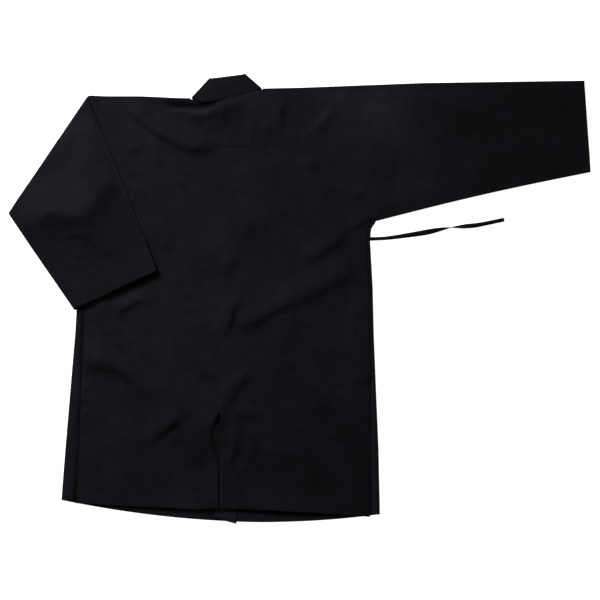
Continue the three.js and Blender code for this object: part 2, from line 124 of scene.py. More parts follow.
# Half of how far the side seam stands open at its slit.
def slitHalf(y):
    return smooth((gi["slitTop"] - y) / gi["slitEase"]) * gi["slitGap"] / 2


def armholeX(side, y):
    return lineX(pair("armholeTop", side), pair("armpit", side), y)


def centreSeamX(y):
    return lineX((centre["topX"], place["neckLeft"][1]), (centre["lowX"], centre["ventTop"]), y)


# Share of the way down the vent's bow.
def downVent(y):
    return (centre["ventTop"] - y) / (centre["ventTop"] - centre["bowEnd"])


def ventBow(y):
    return centre["bow"] * np.sin(math.pi * np.clip(downVent(y), 0, 1))


def straightHem(x):
    return hem["y"] + hem["slope"] * (x - hem["x"])


def backHem(x):
    return straightHem(x) + lookUp(x, hem["drawnUp"])


def frontHem(x):
    reach = np.where(x < hem["middle"], hem["reachLeft"], hem["reachRight"])
    return straightHem(x) - hem["drop"] * (1 - ((x - hem["middle"]) / reach) ** 2)


def shoulderY(x, side):
    neck, top = pair("neck", side), pair("armholeTop", side)
    along = (x - neck[0]) / (top[0] - neck[0])
    if side == "left":
        along = smooth((neck[0] - x) / gi["shoulderReach"])
    return lerp(neck[1], top[1], along)


def neckSeamY(x):
    start, dip, end = (pair(name) for name in ("neckLeft", "neckDip", "neckRight"))
    bend, run = start - 2 * dip + end, 2 * (dip - start)
    under = np.maximum(0, run[0] ** 2 - 4 * bend[0] * (start[0] - x))
    t = np.clip((np.sqrt(under) - run[0]) / (2 * bend[0]), 0, 1)
    return bend[1] * t * t + run[1] * t + start[1]


def backHeight(x, y):
    run = gi["overCollarRun"]
    middle = lineX((run["topX"], place["neckLeft"][1]), (run["lowX"], hem["y"]), y)
    return lerp(gi["overCollars"], gi["top"], smooth((np.abs(x - middle) - run["half"]) / run["ease"]))


# The round that cloth makes from one height to another: how far out it is, its heights, and its share of the way.
def roll(low, high):
    angle = np.linspace(0, math.pi, gi["rollSteps"] + 1)
    share = (1 - np.cos(angle)) / 2
    out = np.multiply.outer(np.abs(high - low) / 2, np.sin(angle))
    return out, np.add.outer(low, 0 * share) + np.multiply.outer(high - low, share), share


# So many shares from 0 to 1, as the columns of a grid.
def evenly(count):
    return np.linspace(0, 1, count)[None, :]


# Shares from 0 to 1 with even steps, and finer ones within a band round each place.
def spread(long, finer, band, step=gi["gridStep"], fineStep=gi["fineStep"]):
    found = list(np.linspace(0, 1, max(2, round(long / step)) + 1))
    for at in finer:
        found += list(at + np.arange(-band, band + 0.1, fineStep) / long)
    found = np.array(sorted(t for t in found if 0 <= t <= 1))
    keep = np.concatenate([[True], np.diff(found) > 0.3 * fineStep / long])
    keep[-1] = True
    return found[keep]


def stacked(*values):
    return np.stack(np.broadcast_arrays(*values), -1).astype(float)


# Rows and columns of places on a panel. Its side edges are given as x at a y, its top and bottom as y at an x.
def panelPlaces(side, heights, outerX, innerX, topY, bottomY, us, vs):
    topOuter, lowOuter, topInner, lowInner = heights
    armpitY, share = pair("armpit", side)[1], gi["armpitShare"]

    def outer(v):
        past = (v - share) / (1 - share)
        y = np.where(v <= share, lerp(topOuter, armpitY, v / share), lerp(armpitY, lowOuter, past))
        return stacked(outerX(y), y)

    def inner(v):
        y = lerp(topInner, lowInner, v)
        return stacked(innerX(y), y)

    u, v = us[None, :, None], vs[:, None, None]
    ends = np.array([0.0, 1.0])
    outerEnds, innerEnds = outer(ends), inner(ends)
    topX, lowX = (lerp(start[0], end[0], us) for start, end in zip(outerEnds, innerEnds))
    corners = lerp(lerp(outerEnds[0], innerEnds[0], u), lerp(outerEnds[1], innerEnds[1], u), v)
    across = lerp(outer(vs)[:, None], inner(vs)[:, None], u)
    return across + lerp(stacked(topX, topY(topX))[None], stacked(lowX, bottomY(lowX))[None], v) - corners


# The turn of the left sleeve: where its line runs, the height of its axis, and what the back does beside it.
turn = {
    "from": (-424, 404.4), "to": (-581.6, 171.4), "axis": 5.2, "steps": 9,
    "calmFor": 2, "calmEase": 26,  # the back has no folds of its own this near to the sleeve
    "standUp": 2.9, "standWide": 20, "cuffClear": 30, "cuffEase": 60,  # it stands up to meet the sleeve's fold
}
turnRadius = turn["axis"] - (gi["bottom"] + gi["top"]) / 2
turnLong = math.dist(turn["from"], turn["to"])
turnOut = (turn["to"][1] - turn["from"][1]) / turnLong, (turn["from"][0] - turn["to"][0]) / turnLong


def pastTurn(x, y):
    return (x - turn["from"][0]) * turnOut[0] + (y - turn["from"][1]) * turnOut[1]


def mirrored(name):
    x, y = pair(name, "left")
    return x - 2 * pastTurn(x, y) * turnOut[0], y - 2 * pastTurn(x, y) * turnOut[1]


def turned(places):
    x, y, z = places.T
    past = pastTurn(x, y) + turn["axis"]
    angle = np.clip(past / turnRadius, 0, math.pi)
    rest = np.maximum(0, past - math.pi * turnRadius)
    out = (turn["axis"] - z) * np.sin(angle) - rest - past
    height = turn["axis"] - (turn["axis"] - z) * np.cos(angle)
    return np.where((past > 0)[:, None], stacked(x + turnOut[0] * out, y + turnOut[1] * out, height), places)


# How far a place is outside the turned sleeve, across its fold and across its cuff.
def pastSleeve(x, y):
    corners = [mirrored(name) for name in ("armholeTop", "cuffTop", "cuffBottom")]
    for start, end in zip(corners, corners[1:]):
        dx, dy = end[0] - start[0], end[1] - start[1]
        yield ((y - start[1]) * dx - (x - start[0]) * dy) / math.hypot(dx, dy)


def clearOfSleeve(x, y):
    pastFold, pastCuff = pastSleeve(x, y)
    return smooth((np.maximum(pastFold, pastCuff) - turn["calmFor"]) / turn["calmEase"])


def besideSleeve(x, y):
    pastFold, pastCuff = pastSleeve(x, y)
    fromCuff = smooth((-turn["cuffClear"] - pastCuff) / turn["cuffEase"])
    return turn["standUp"] * groove(pastFold, turn["standWide"]) * fromCuff


# A smooth line through places, as closer places.
def smoothLine(path, parts=5):
    path = np.array(path, float)
    if len(path) < 3:
        return path
    ends = np.concatenate([2 * path[:1] - path[1:2], path, 2 * path[-1:] - path[-2:-1]])
    line = []
    for a, b, c, d in zip(ends, ends[1:], ends[2:], ends[3:]):
        for t in np.arange(parts) / parts:
            cubic = (3 * b - a - 3 * c + d) * t ** 3
            line.append(0.5 * (2 * b + (c - a) * t + (2 * a - 5 * b + 4 * c - d) * t * t + cubic))
    return np.array(line + [path[-1]])


# Folds of the cloth. Each crease is its height, its half widths to the left and right of its line, and then
# the places of the line: x, y, x, y.
folds = {
    "lean": 6,  # how soon one width goes over into the other
    "fadeIn": 52, "fadeShare": 0.46,  # how long a crease's ends are
    "heightWave": 0.2, "widthWave": 0.18, "wander": 2.2,
    "loose": [  # slow swells and small unevenness: height, and twice the wave lengths along x and y and the shift
        (0.9, 31, 55, 1, -90, 43, 2), (0.5, 17, -24, 3, 38, 29, 1), (0.24, 7.3, 11, 1, -13, 8.1, 5),
    ],
}


def creasePath(crease):
    return np.reshape(crease[3:], (-1, 2))


def creaseHeight(x, y, crease):
    height, left, right = crease[:3]
    path = smoothLine(creasePath(crease))
    lengths = np.hypot(*np.diff(path, axis=0).T)
    nearest, width, run, start = np.full(x.shape, 1e9), np.ones(x.shape), np.zeros(x.shape), 0.0
    for (x0, y0), (x1, y1), long in zip(path, path[1:], lengths):
        dx, dy = (x1 - x0) / long, (y1 - y0) / long
        along = np.clip((x - x0) * dx + (y - y0) * dy, 0, long)
        offX, offY = x - x0 - along * dx, y - y0 - along * dy
        away = np.hypot(offX, offY)
        lean = smooth(0.5 + 0.5 * (dx * offY - dy * offX) / folds["lean"])
        closer = away < nearest
        nearest = np.where(closer, away, nearest)
        width = np.where(closer, lerp(right, left, lean), width)
        run = np.where(closer, start + along, run)
        start += long
    taper = smooth(np.minimum(run, start - run) / min(folds["fadeIn"], folds["fadeShare"] * start) + 0.06)
    phase = 0.37 * path[0][0] + 0.11 * path[0][1]
    taper *= 1 + folds["heightWave"] * np.sin(x / 27 + y / 33 + phase)
    width *= 1 + folds["widthWave"] * np.sin(x / 39 - y / 35 + 1.7 * phase)
    return height * taper * groove(nearest, width)


def swells(x, y, seed):
    total = np.zeros(x.shape)
    for height, longX, longY, shift, nextX, nextY, nextShift in folds["loose"]:
        first = np.sin(x / longX + y / longY + shift * seed)
        total += height * first * np.sin(x / nextX + y / nextY + nextShift * seed)
    return total


def creased(x, y, lift, hold, piece):
    total = np.zeros(x.shape)
    wornX = x + folds["wander"] * np.sin(y / 13 + x / 41)
    wornY = y + folds["wander"] * np.sin(x / 15 - y / 37)
    for crease in piece["creases"]:
        path, reach = creasePath(crease), 3 * max(crease[1:3]) + 3
        (lowX, lowY), (highX, highY) = path.min(0) - reach, path.max(0) + reach
        near = (x > lowX) & (x < highX) & (y > lowY) & (y < highY)
        total[near] += piece.get("foldScale", 1) * creaseHeight(wornX[near], wornY[near], crease) * hold[near]
    total += lift * (piece["puff"] + piece["swell"] * swells(x, y, piece["seed"]))
    return np.maximum(total, gi["keepAbove"])


# The two layers of a hem: raised to its stitches, which pull it down.
def hemBand(away, wide, rise):
    return rise * smooth((wide - away) / 1.5 + 0.5) - rise * groove(away - wide, 1.8)


# Welds grids of places into one list of points and faces.
def joined(grids):
    points, faces, start = [], [], 0
    for grid in grids:
        rows, columns = grid.shape[:2]
        index = start + np.arange(rows * columns).reshape(rows, columns)
        quads = np.stack([index[:-1, :-1], index[:-1, 1:], index[1:, 1:], index[1:, :-1]], -1)
        points.append(grid.reshape(rows * columns, -1))
        faces.append(quads.reshape(-1, 4))
        start += rows * columns
    points, faces = np.concatenate(points), np.concatenate(faces)
    rounded = np.round(points[:, :3] / 0.02).astype(int)
    _, first, back = np.unique(rounded, axis=0, return_index=True, return_inverse=True)
    faces = [list(dict.fromkeys(face)) for face in back.reshape(-1)[faces].tolist()]
    return points[first], [face for face in faces if len(face) > 2]


def readPoints(mesh, name, width):
    values = np.zeros(len(mesh.vertices) * width, np.float32)
    if name == "co":
        mesh.vertices.foreach_get("co", values)
    else:
        mesh.attributes[name].data.foreach_get("value", values)
    return values.astype(float).reshape(-1, width) if width > 1 else values.astype(float)


def addValues(mesh, name, values):
    kind, key = ("FLOAT", "value") if values.ndim == 1 else ("FLOAT_VECTOR", "vector")
    mesh.attributes.new(name, kind, "POINT").data.foreach_set(key, values.astype(np.float32).ravel())


def setPoints(mesh, points):
    mesh.vertices.foreach_set("co", points.astype(np.float32).ravel())


def inScene(name, data):
    made = bpy.data.objects.new(name, data)
    bpy.context.scene.collection.objects.link(made)
    return made


# Cuts the faces along the turn of the sleeve, so that they can bend there.
def cutAtTurn(mesh):
    work = bmesh.new()
    work.from_mesh(mesh)
    for share in np.linspace(0, 1, turn["steps"] + 1):
        past = share * math.pi * turnRadius - turn["axis"]
        at = Vector((turn["from"][0] + turnOut[0] * past, turn["from"][1] + turnOut[1] * past, 0))
        every = work.verts[:] + work.edges[:] + work.faces[:]
        bmesh.ops.bisect_plane(work, geom=every, dist=0.3, plane_co=at, plane_no=(*turnOut, 0))
    work.to_mesh(mesh)
    work.free()


# Makes a piece of cloth from grids of places: x, y, z, its shares of the swells and of the creases, and
# how much light reaches it, which is 1 in the open and less deep in a gap; that shade is painted into the colour,
# together with the painted patches and crease lights.
def sewn(name, grids, piece, material, wall=gi["wall"], isTurned=False, sharp=50):
    points, faces = joined(grids)
    mesh = bpy.data.meshes.new(name)
    mesh.from_pydata(points[:, :3].tolist(), [], faces)
    for column, key in enumerate(("lift", "hold", "shade"), 3):
        addValues(mesh, key, points[:, column])
    addValues(mesh, "cutPlace", stacked(points[:, 0], points[:, 1], 0))
    if isTurned:
        cutAtTurn(mesh)
    cutArea = sum(face.area for face in mesh.polygons) / 1e6
    places, lift, hold = readPoints(mesh, "co", 3), readPoints(mesh, "lift", 1), readPoints(mesh, "hold", 1)
    if isTurned:
        places = turned(places)
    x, y, z = places.T
    # Each place's tone with its painted light and shade, kept for the material to scale the colour by.
    addValues(mesh, "paintedLightAndTone", paintedToneAt(x, y, piece))
    setPoints(mesh, stacked(x, y, z + creased(x, y, lift, hold, piece) * (hold > 0)) * toMetres)
    for key in ("lift", "hold"):
        mesh.attributes.remove(mesh.attributes[key])
    mesh.update()
    made = inScene(name, mesh)
    shell = made.modifiers.new("wall", "SOLIDIFY")
    shell.thickness, shell.offset = wall * toMetres, 0
    with bpy.context.temp_override(object=made, active_object=made, selected_objects=[made]):
        bpy.ops.object.modifier_apply(modifier="wall")
    mesh = made.data
    corners = readPoints(mesh, "co", 3)
    corners[:, 2] = np.maximum(corners[:, 2], 0)  # it lies on the table
    setPoints(mesh, corners)
    # The painted shade goes on the upper face of the shell only.
    first, second = np.split(corners[:, 2], 2)
    upper = np.concatenate([first >= second, second > first])
    toneAndPaintedLight = readPoints(mesh, "paintedLightAndTone", 1) * np.where(upper, readPoints(mesh, "shade", 1), 1)
    mesh.attributes["paintedLightAndTone"].data.foreach_set("value", toneAndPaintedLight.astype(np.float32))
    mesh.attributes.remove(mesh.attributes["shade"])
    mesh.update()
    print(name, "cut area", round(cutArea, 4), "triangles", sum(len(face.vertices) - 2 for face in mesh.polygons))
    mesh.shade_smooth()
    mesh.set_sharp_from_angle(angle=math.radians(sharp))
    mesh.materials.append(material)
    return made


# Sewing: short raised stitches, one after another along each line, on the cloth that is below the line.
sewing = {
    "step": 3.2, "long": 2.3, "thick": 0.42, "sides": 6, "sunk": 0.06,
    "ends": [(-1, 0.3), (-0.72, 0.85), (0, 1), (0.72, 0.85), (1, 0.3)],
    "steepest": 1.5,  # no stitch where its two ends differ more in height
}


def stitched(name, lines, onto):
    corners, polygons = onto.data.vertices, onto.data.polygons
    below = BVHTree.FromPolygons([corner.co for corner in corners], [face.vertices for face in polygons])
    rings, sides, step = len(sewing["ends"]), sewing["sides"], sewing["step"]
    angles = np.arange(sides) * 2 * math.pi / sides
    points, faces = [], []
    for line in lines:
        lengths = np.concatenate([[0], np.cumsum(np.hypot(*np.diff(line, axis=0).T))])
        for at in np.arange(step, lengths[-1] - step / 2, step):
            hits = []
            for way in (-1, 1):
                x, y = (np.interp(at + way * sewing["long"] / 2, lengths, line[:, axis]) for axis in (0, 1))
                hits.append(below.ray_cast(Vector((x * toMetres, y * toMetres, 0.1)), Vector((0, 0, -1)))[0])
            if None in hits or abs(hits[0].z - hits[1].z) > sewing["steepest"] * toMetres:
                continue
            start, end = (np.array(hit) / toMetres for hit in hits)
            way = (end - start)[:2] / max(1e-6, math.hypot(*(end - start)[:2]))
            first = len(points)
            for share, radius in sewing["ends"]:
                x, y, z = lerp(start, end, share / 2 + 0.5)
                for angle in angles:
                    out = math.cos(angle) * radius * sewing["thick"] / 2
                    up = math.sin(angle) * radius * sewing["thick"] / 2 + sewing["sunk"]
                    points.append((x - way[1] * out, y + way[0] * out, z + up))
            for ring in range(rings - 1):
                for k in range(sides):
                    a, b = first + ring * sides + k, first + ring * sides + (k + 1) % sides
                    faces.append((a, b, b + sides, a + sides))
            faces.append(tuple(range(first + sides - 1, first - 1, -1)))
            faces.append(tuple(range(first + (rings - 1) * sides, first + rings * sides)))
    mesh = bpy.data.meshes.new(name)
    mesh.from_pydata((np.array(points) * toMetres).tolist(), [], faces)
    addValues(mesh, "cutPlace", np.array(points))
    addValues(mesh, "paintedLightAndTone", np.ones(len(points)))
    mesh.shade_smooth()
    mesh.materials.append(threadBlack)
    made = inScene(name, mesh)
    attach(made, "root")
    print(name, len(points) // (sides * rings), "stitches")
    return made


# Painted light and shade on the cloth, over each piece's tone. A painted patch, lighter or darker, is its x, y,
# reach across and up, and its change at the middle; a painted crease light, a highlight or a shade along a crease,
# is written like a crease, with the change as its height.
def paintedToneAt(x, y, piece):
    toneAndPaintedLight = np.full(x.shape, float(piece.get("toneAndPaintedLight", 1)))
    for atX, atY, across, up, change in piece.get("paintedPatches", ()):
        toneAndPaintedLight *= 1 + change * np.exp(-(((x - atX) / across) ** 2) - ((y - atY) / up) ** 2)
    for paintedLine in piece.get("paintedCreaseLights", ()):
        toneAndPaintedLight *= 1 + creaseHeight(x, y, paintedLine)
    return toneAndPaintedLight


# Shader groups, shared by the materials.
def newGroup(name, inputs, outputs):
    group = bpy.data.node_groups.new(name, "ShaderNodeTree")
    for socket, value in inputs:
        made = group.interface.new_socket(socket, in_out="INPUT", socket_type="NodeSocketFloat")
        made.default_value = value
    for socket in outputs:
        group.interface.new_socket(socket, in_out="OUTPUT", socket_type="NodeSocketFloat")
    return group, group.nodes.new("NodeGroupInput").outputs, group.nodes.new("NodeGroupOutput").inputs


def setInputs(node, values):
    for socket, value in values.items():
        node.inputs[socket].default_value = value


def mathNode(tree, operation, *values):
    node = tree.nodes.new("ShaderNodeMath")
    node.operation = operation
    for socket, value in zip(node.inputs, values):
        if isinstance(value, (int, float)):
            socket.default_value = value
        else:
            tree.links.new(value, socket)
    return node.outputs[0]


def storedValue(tree, name, output):
    node = tree.nodes.new("ShaderNodeAttribute")
    node.attribute_name = name
    return node.outputs[output]


def clothNoise(tree, scale, detail):
    noise = tree.nodes.new("ShaderNodeTexNoise")
    setInputs(noise, {"Scale": scale, "Detail": detail})
    tree.links.new(storedValue(tree, "cutPlace", "Vector"), noise.inputs["Vector"])
    return noise.outputs[0]


# Plain weave: two sets of yarns that pass over and under each other, a little uneven.
def makeWeave():
    group, given, result = newGroup("plainWeave", [("Yarns per mm", 1.6), ("Unevenness", 0.3)], ["Height", "Gap"])
    calc, split = partial(mathNode, group), group.nodes.new("ShaderNodeSeparateXYZ")
    group.links.new(storedValue(group, "cutPlace", "Vector"), split.inputs[0])
    shift = calc("MULTIPLY", clothNoise(group, 0.35, 2), given["Unevenness"])
    waves = []
    for axis in (0, 1):
        along = calc("ADD", calc("MULTIPLY", split.outputs[axis], given["Yarns per mm"]), shift)
        waves.append(calc("SINE", calc("MULTIPLY", along, math.pi)))
    yarn = calc("MULTIPLY_ADD", calc("MULTIPLY", *waves), 0.5, 0.5)
    edges = calc("MINIMUM", *(calc("ABSOLUTE", wave) for wave in waves))
    group.links.new(calc("MULTIPLY_ADD", yarn, 0.4, calc("MULTIPLY", edges, 0.6)), result["Height"])
    group.links.new(calc("SUBTRACT", 1.0, calc("MULTIPLY", edges, 1.6)), result["Gap"])
    return group


# Nap: slow and fine differences in how the dye took and how the fibres lie.
def makeNap():
    group, given, result = newGroup("nap", [("Amount", 0.3), ("Fluff", 0.3)], ["Tone", "Height", "Matt"])
    calc, sizes = partial(mathNode, group), ((0.014, 3), (0.055, 4), (0.9, 4))  # scale and detail of each noise
    slow, middling, fine = (calc("SUBTRACT", clothNoise(group, scale, detail), 0.5) for scale, detail in sizes)
    mixed = calc("MULTIPLY_ADD", fine, 0.7, calc("MULTIPLY_ADD", slow, 1.2, calc("MULTIPLY", middling, 0.8)))
    group.links.new(calc("MULTIPLY_ADD", mixed, given["Amount"], 1.0), result["Tone"])
    group.links.new(calc("MULTIPLY", fine, given["Fluff"]), result["Height"])
    group.links.new(calc("MULTIPLY_ADD", middling, 0.25, 0.82), result["Matt"])
    return group


weaveGroup, napGroup = makeWeave(), makeNap()


def clothMaterial(name, finish):
    material = bpy.data.materials.new(name)
    material.use_nodes = True
    tree = material.node_tree
    links, shader = tree.links, tree.nodes["Principled BSDF"]
    weave, nap = tree.nodes.new("ShaderNodeGroup"), tree.nodes.new("ShaderNodeGroup")
    weave.node_tree, nap.node_tree = weaveGroup, napGroup
    setInputs(weave, {"Yarns per mm": finish["yarns"], "Unevenness": finish["unevenness"]})
    setInputs(nap, {"Amount": finish["mottle"], "Fluff": finish["fluff"]})
    darker = mathNode(tree, "MULTIPLY_ADD", weave.outputs["Gap"], -finish["gapShade"], 1.0)
    # The colour is scaled by the nap's random tone, by the painted light and shade of each place and by the
    # weave's darker gaps.
    toneAndPaintedLight = mathNode(tree, "MULTIPLY", nap.outputs["Tone"], storedValue(tree, "paintedLightAndTone", "Fac"))
    colour = tree.nodes.new("ShaderNodeVectorMath")
    colour.operation = "SCALE"
    colour.inputs[0].default_value = finish["colour"]
    links.new(mathNode(tree, "MULTIPLY", toneAndPaintedLight, darker), colour.inputs["Scale"])
    links.new(colour.outputs[0], shader.inputs["Base Color"])
    links.new(nap.outputs["Matt"], shader.inputs["Roughness"])
    bump = tree.nodes.new("ShaderNodeBump")
    setInputs(bump, {"Strength": finish["relief"], "Distance": finish["deep"]})
    links.new(mathNode(tree, "ADD", weave.outputs["Height"], nap.outputs["Height"]), bump.inputs["Height"])
    links.new(bump.outputs[0], shader.inputs["Normal"])
    setInputs(shader, {"Specular IOR Level": finish["gloss"], "Sheen Weight": finish["sheen"]})
    setInputs(shader, {"Sheen Roughness": finish["sheenSpread"], "Sheen Tint": finish["sheenTint"]})
    return material


clothFinish = {
    "colour": (0.0055, 0.0059, 0.0075), "yarns": 1.7, "unevenness": 0.5, "mottle": 0.7, "fluff": 0.5,
    "gapShade": 0.3, "relief": 0.5, "deep": 0.00025, "gloss": 0.024,
    "sheen": 0.0025, "sheenSpread": 0.45, "sheenTint": (0.8, 0.85, 1, 1),
}
threadFinish = {**clothFinish, "colour": (0.0032, 0.0034, 0.0045), "yarns": 3.0, "gloss": 0.04}
cottonBlack = clothMaterial("blackCotton", clothFinish)
collarBlack = clothMaterial("collarCotton", {**clothFinish, "yarns": 1.5, "relief": 0.6, "mottle": 0.4})
tapeBlack = clothMaterial("tieTape", {**clothFinish, "yarns": 2.0, "relief": 0.7})
threadBlack = clothMaterial("sewingThread", threadFinish)
print("materials mixed")


# Half of the back, turned over the shoulder to its seam with the front.
backPiece = {
    "long": 812,
    "puff": 1.6, "swell": 0.95, "seed": 1.3,  # how loose it lies
    "swellsFrom": (40, 4, 26), "creasesFrom": (8, 11),  # how far from the side and the top they start
    "hollowsFrom": 5, "neckEase": 20,
    "foldScale": 1.3,  # makes all its creases higher or lower together
    "deep": [  # where little light gets in, written like creases
        (1.25, 8, 8.5, -282, 387, -250, 387, -206, 386, -180, 388, -154, 400),
        (0.8, 2.5, 3, -158, -230, -166, -240, -174, -254),
        (0.5, 4, 4, -150, -216, -166, -240, -174, -255, -177, -274, -174, -296, -164, -330),
        (0.62, 8, 8, -138, -232, -154, -240, -166, -251),
        (0.32, 8, 8, -164, -250, -170, -275, -168, -305, -164, -330),
    ],
    # Painted highlights on ridges and painted shade below folds, along the creases.
    "paintedCreaseLights": [
        (0.42, 8, 8, -262, 377, -206, 372, -170, 374, -142, 386, -92, 412),
        (0.16, 14, 10, -330, 345, -296, 320, -250, 300, -190, 300),
        (-0.16, 8, 8, -354, 388, -330, 370, -308, 348, -284, 325, -250, 309, -216, 301),
        (-0.14, 9, 9, -160, 352, -110, 352), (-0.25, 7, 7, -222, 342, -190, 351, -160, 358, -122, 368),
        (-0.2, 20, 20, -236, -250, -212, -290, -186, -328), (-0.36, 9, 9, -120, 6, -132, -34, -142, -76),
        (-0.2, 9, 9, -446, -128, -400, -135, -370, -147, -340, -171, -300, -213),
        (-0.13, 9, 9, -404, -48, -372, -88, -342, -124), (-0.12, 10, 10, -246, -92, -204, -143, -170, -188),
        (-0.1, 11, 11, -272, 236, -264, 140, -264, 44),
    ],
    "yoke": (300, 0.0043, -384),  # height of the yoke's stitches at an x, and their slope
    "yokeRows": (0.117, 0.135),  # where they run, as shares of the rows
    "yokePull": [  # how deep they pull the cloth down, by x
        (-390, 0.15), (-260, 0.12), (-170, 0.5), (-150, 1.1), (-86, 1.1), (-70, 0.3), (60, 0.15), (240, 0.1),
    ],
    "sideDitch": 1.1, "armholeDitch": 0.1, "centreDitch": 0.22,
    "ditchHalf": {"side": 3, "centre": 2.5, "yoke": 2.6},
    "lowSideWider": {"left": 2.5, "right": 0}, "lowSide": (-300, 60),  # the side's ditch grows wider from here
    "sideShade": 0.55, "sideShadeBelow": 20, "darkest": 0.96,
    "hemWide": 20, "hemRise": 0.25, "hemReach": 42,
    "hemLifts": [  # how far the hem's edge stands up, by x
        (-470, 0), (-380, 1), (-250, 3), (-160, 3.4), (-60, 4.4), (40, 3.6), (100, 1.4), (150, 0.2),
    ],
    "ventWide": 11, "ventRise": 0.3, "ventEase": 8,
    "ventTents": {  # how high, at which height, and the reach up and across
        "left": [(3.4, -246, 26, 26), (2.2, -400, 90, 20)],
        "right": [(2.6, -240, 34, 16)],
    },
    "facing": {  # the right panel's edge steps down where it goes under the left one
        "past": 0.8, "sunk": 0.4, "groove": 0.7, "half": 1.5,
    },
    "hollows": [  # dips above the neck's ridge, written like creases
        (3.6, 7, 6, -284, 388, -240, 388, -200, 387, -176, 390, -160, 393),
        (1.5, 4, 6, -172, 392, -150, 397, -118, 403),
    ],
    "creases": [
        (8.4, 30, 16, -132, -58, -54, -23, -4, 1, 46, 27, 118, 62),
        (2, 9, 24, -88, -71, -42, -51, 8, -27, 58, -1, 102, 19), (7, 15, 24, -122, 8, -140, -34, -158, -86),
        (2, 16, 7, -114, -21, -122, -47, -134, -79), (5.4, 24, 15, -8, 60, 30, 86, 54, 103, 100, 142),
        (1.6, 9, 18, 18, 47, 42, 63, 68, 79, 94, 103),
        (4.6, 40, 22, -180, 46, -142, 79, -130, 109, -120, 135, -102, 153, -74, 177),
        (7.5, 22, 12, -352, 396, -328, 373, -304, 349, -282, 330, -250, 314, -220, 306, -190, 303, -150, 304),
        (1.8, 10, 14, -346, 353, -316, 321, -290, 301, -254, 283), (1.8, 9, 6, -350, 301, -314, 299),
        (2.6, 12, 7, -318, 286, -290, 275, -256, 268), (2, 10, 10, -262, 292, -246, 262, -250, 236),
        (1.8, 12, 8, -352, 232, -326, 214, -296, 204), (1.6, 9, 8, -236, 178, -214, 150, -210, 122),
        (1.8, 10, 9, -276, 150, -262, 118, -268, 84), (1.6, 10, 6, -376, 255, -330, 253, -294, 245),
        (1.8, 10, 8, -264, 243, -218, 221), (3, 6, 13, -40, 403, -38, 331), (1.6, 7, 7, -94, 369, -98, 305),
        (1.2, 6, 6, -64, 363, -72, 315), (4, 9, 17, 18, 315, 44, 353, 74, 393),
        (2, 14, 6, -2, 267, 46, 265), (1.2, 12, 6, 68, 267, 138, 265),
        (2.5, 12, 6, 92, 135, 120, 149, 148, 159), (1.5, 10, 6, 88, 207, 138, 211),
        (1.2, 8, 5, -116, 191, -84, 193),
        (6.8, 26, 13, -450, -119, -406, -125, -376, -135, -348, -147, -322, -171, -294, -217),
        (1.5, 8, 14, -366, -169, -340, -189, -324, -221),
        (5.5, 15, 9, -372, -31, -342, -11, -318, -3, -292, -15),
        (5, 14, 11, -386, -43, -364, -83, -344, -113), (2, 10, 7, -310, 23, -288, 43, -264, 63),
        (7.4, 20, 12, -322, -300, -288, -269, -264, -249, -220, -226),
        (1.8, 7, 12, -282, -297, -256, -279, -232, -261), (5, 22, 10, -232, -236, -220, -283, -194, -343),
        (6.4, 11, 11, -130, -247, -134, -299, -150, -349), (2, 20, 10, -98, -255, -104, -313, -120, -359),
        (4.4, 14, 9, -146, -230, -110, -230, -66, -231),
        (6.4, 18, 11, -164, -226, -144, -200, -124, -166, -100, -133),
        (2.5, 14, 10, -236, -103, -204, -143, -174, -183), (1.8, 8, 5, 98, -159, 144, -159),
        (2, 6, 5, -447, -173, -410, -175), (2, 6, 5, -447, -201, -410, -203),
        (1.6, 6, 5, -447, -225, -416, -227), (1, 6, 5, -8, -295, 16, -317), (1, 6, 5, -76, -307, -36, -313),
        (8, 8, 16, -276, 374, -236, 373, -196, 371, -156, 381, -116, 401),
        (3, 6, 15, -200, 343, -172, 349, -144, 361), (2.6, 8, 18, -112, 391, -72, 385, -24, 369),
        *((0.9, 4, 4, x, 323 - x % 7, x + 1, 303) for x in (-206, -193, -176, -162, -147, -130, -113, -98, -84)),
    ],
    # Painted light and shade on the back: a lighter shoulder, darker places by the vent and at the lower right.
    "paintedPatches": [
        (-150, -290, 26, 36, -0.17), (150, 378, 80, 62, 0.55), (-250, -60, 170, 150, 0.14),
        (60, -330, 180, 150, -0.2), (-330, 340, 110, 60, 0.15), (-406, -106, 34, 18, 0.2),
        (-226, 210, 60, 90, 0.08), (-60, 340, 60, 50, -0.06), (60, 160, 110, 90, -0.1),
    ],
}


# How far the hem's edge stands off the fronts.
def hemLift(x, low):
    return lookUp(x, backPiece["hemLifts"]) * smooth(1 - low / backPiece["hemReach"])


# The cloth stands up at the top of the vent, and the left panel's edge a little down to the hem.
def ventTent(side, middle, y):
    tents = backPiece["ventTents"][side]
    return sum(high * groove(y - at, reach) * groove(middle, wide) for high, at, reach, wide in tents)


# The right panel's facing reaches under the left panel's edge, a little below the top of the vent.
def facingShare(y):
    return smooth((centre["ventTop"] - centre["facingBelow"] - y) / centre["facingEase"])


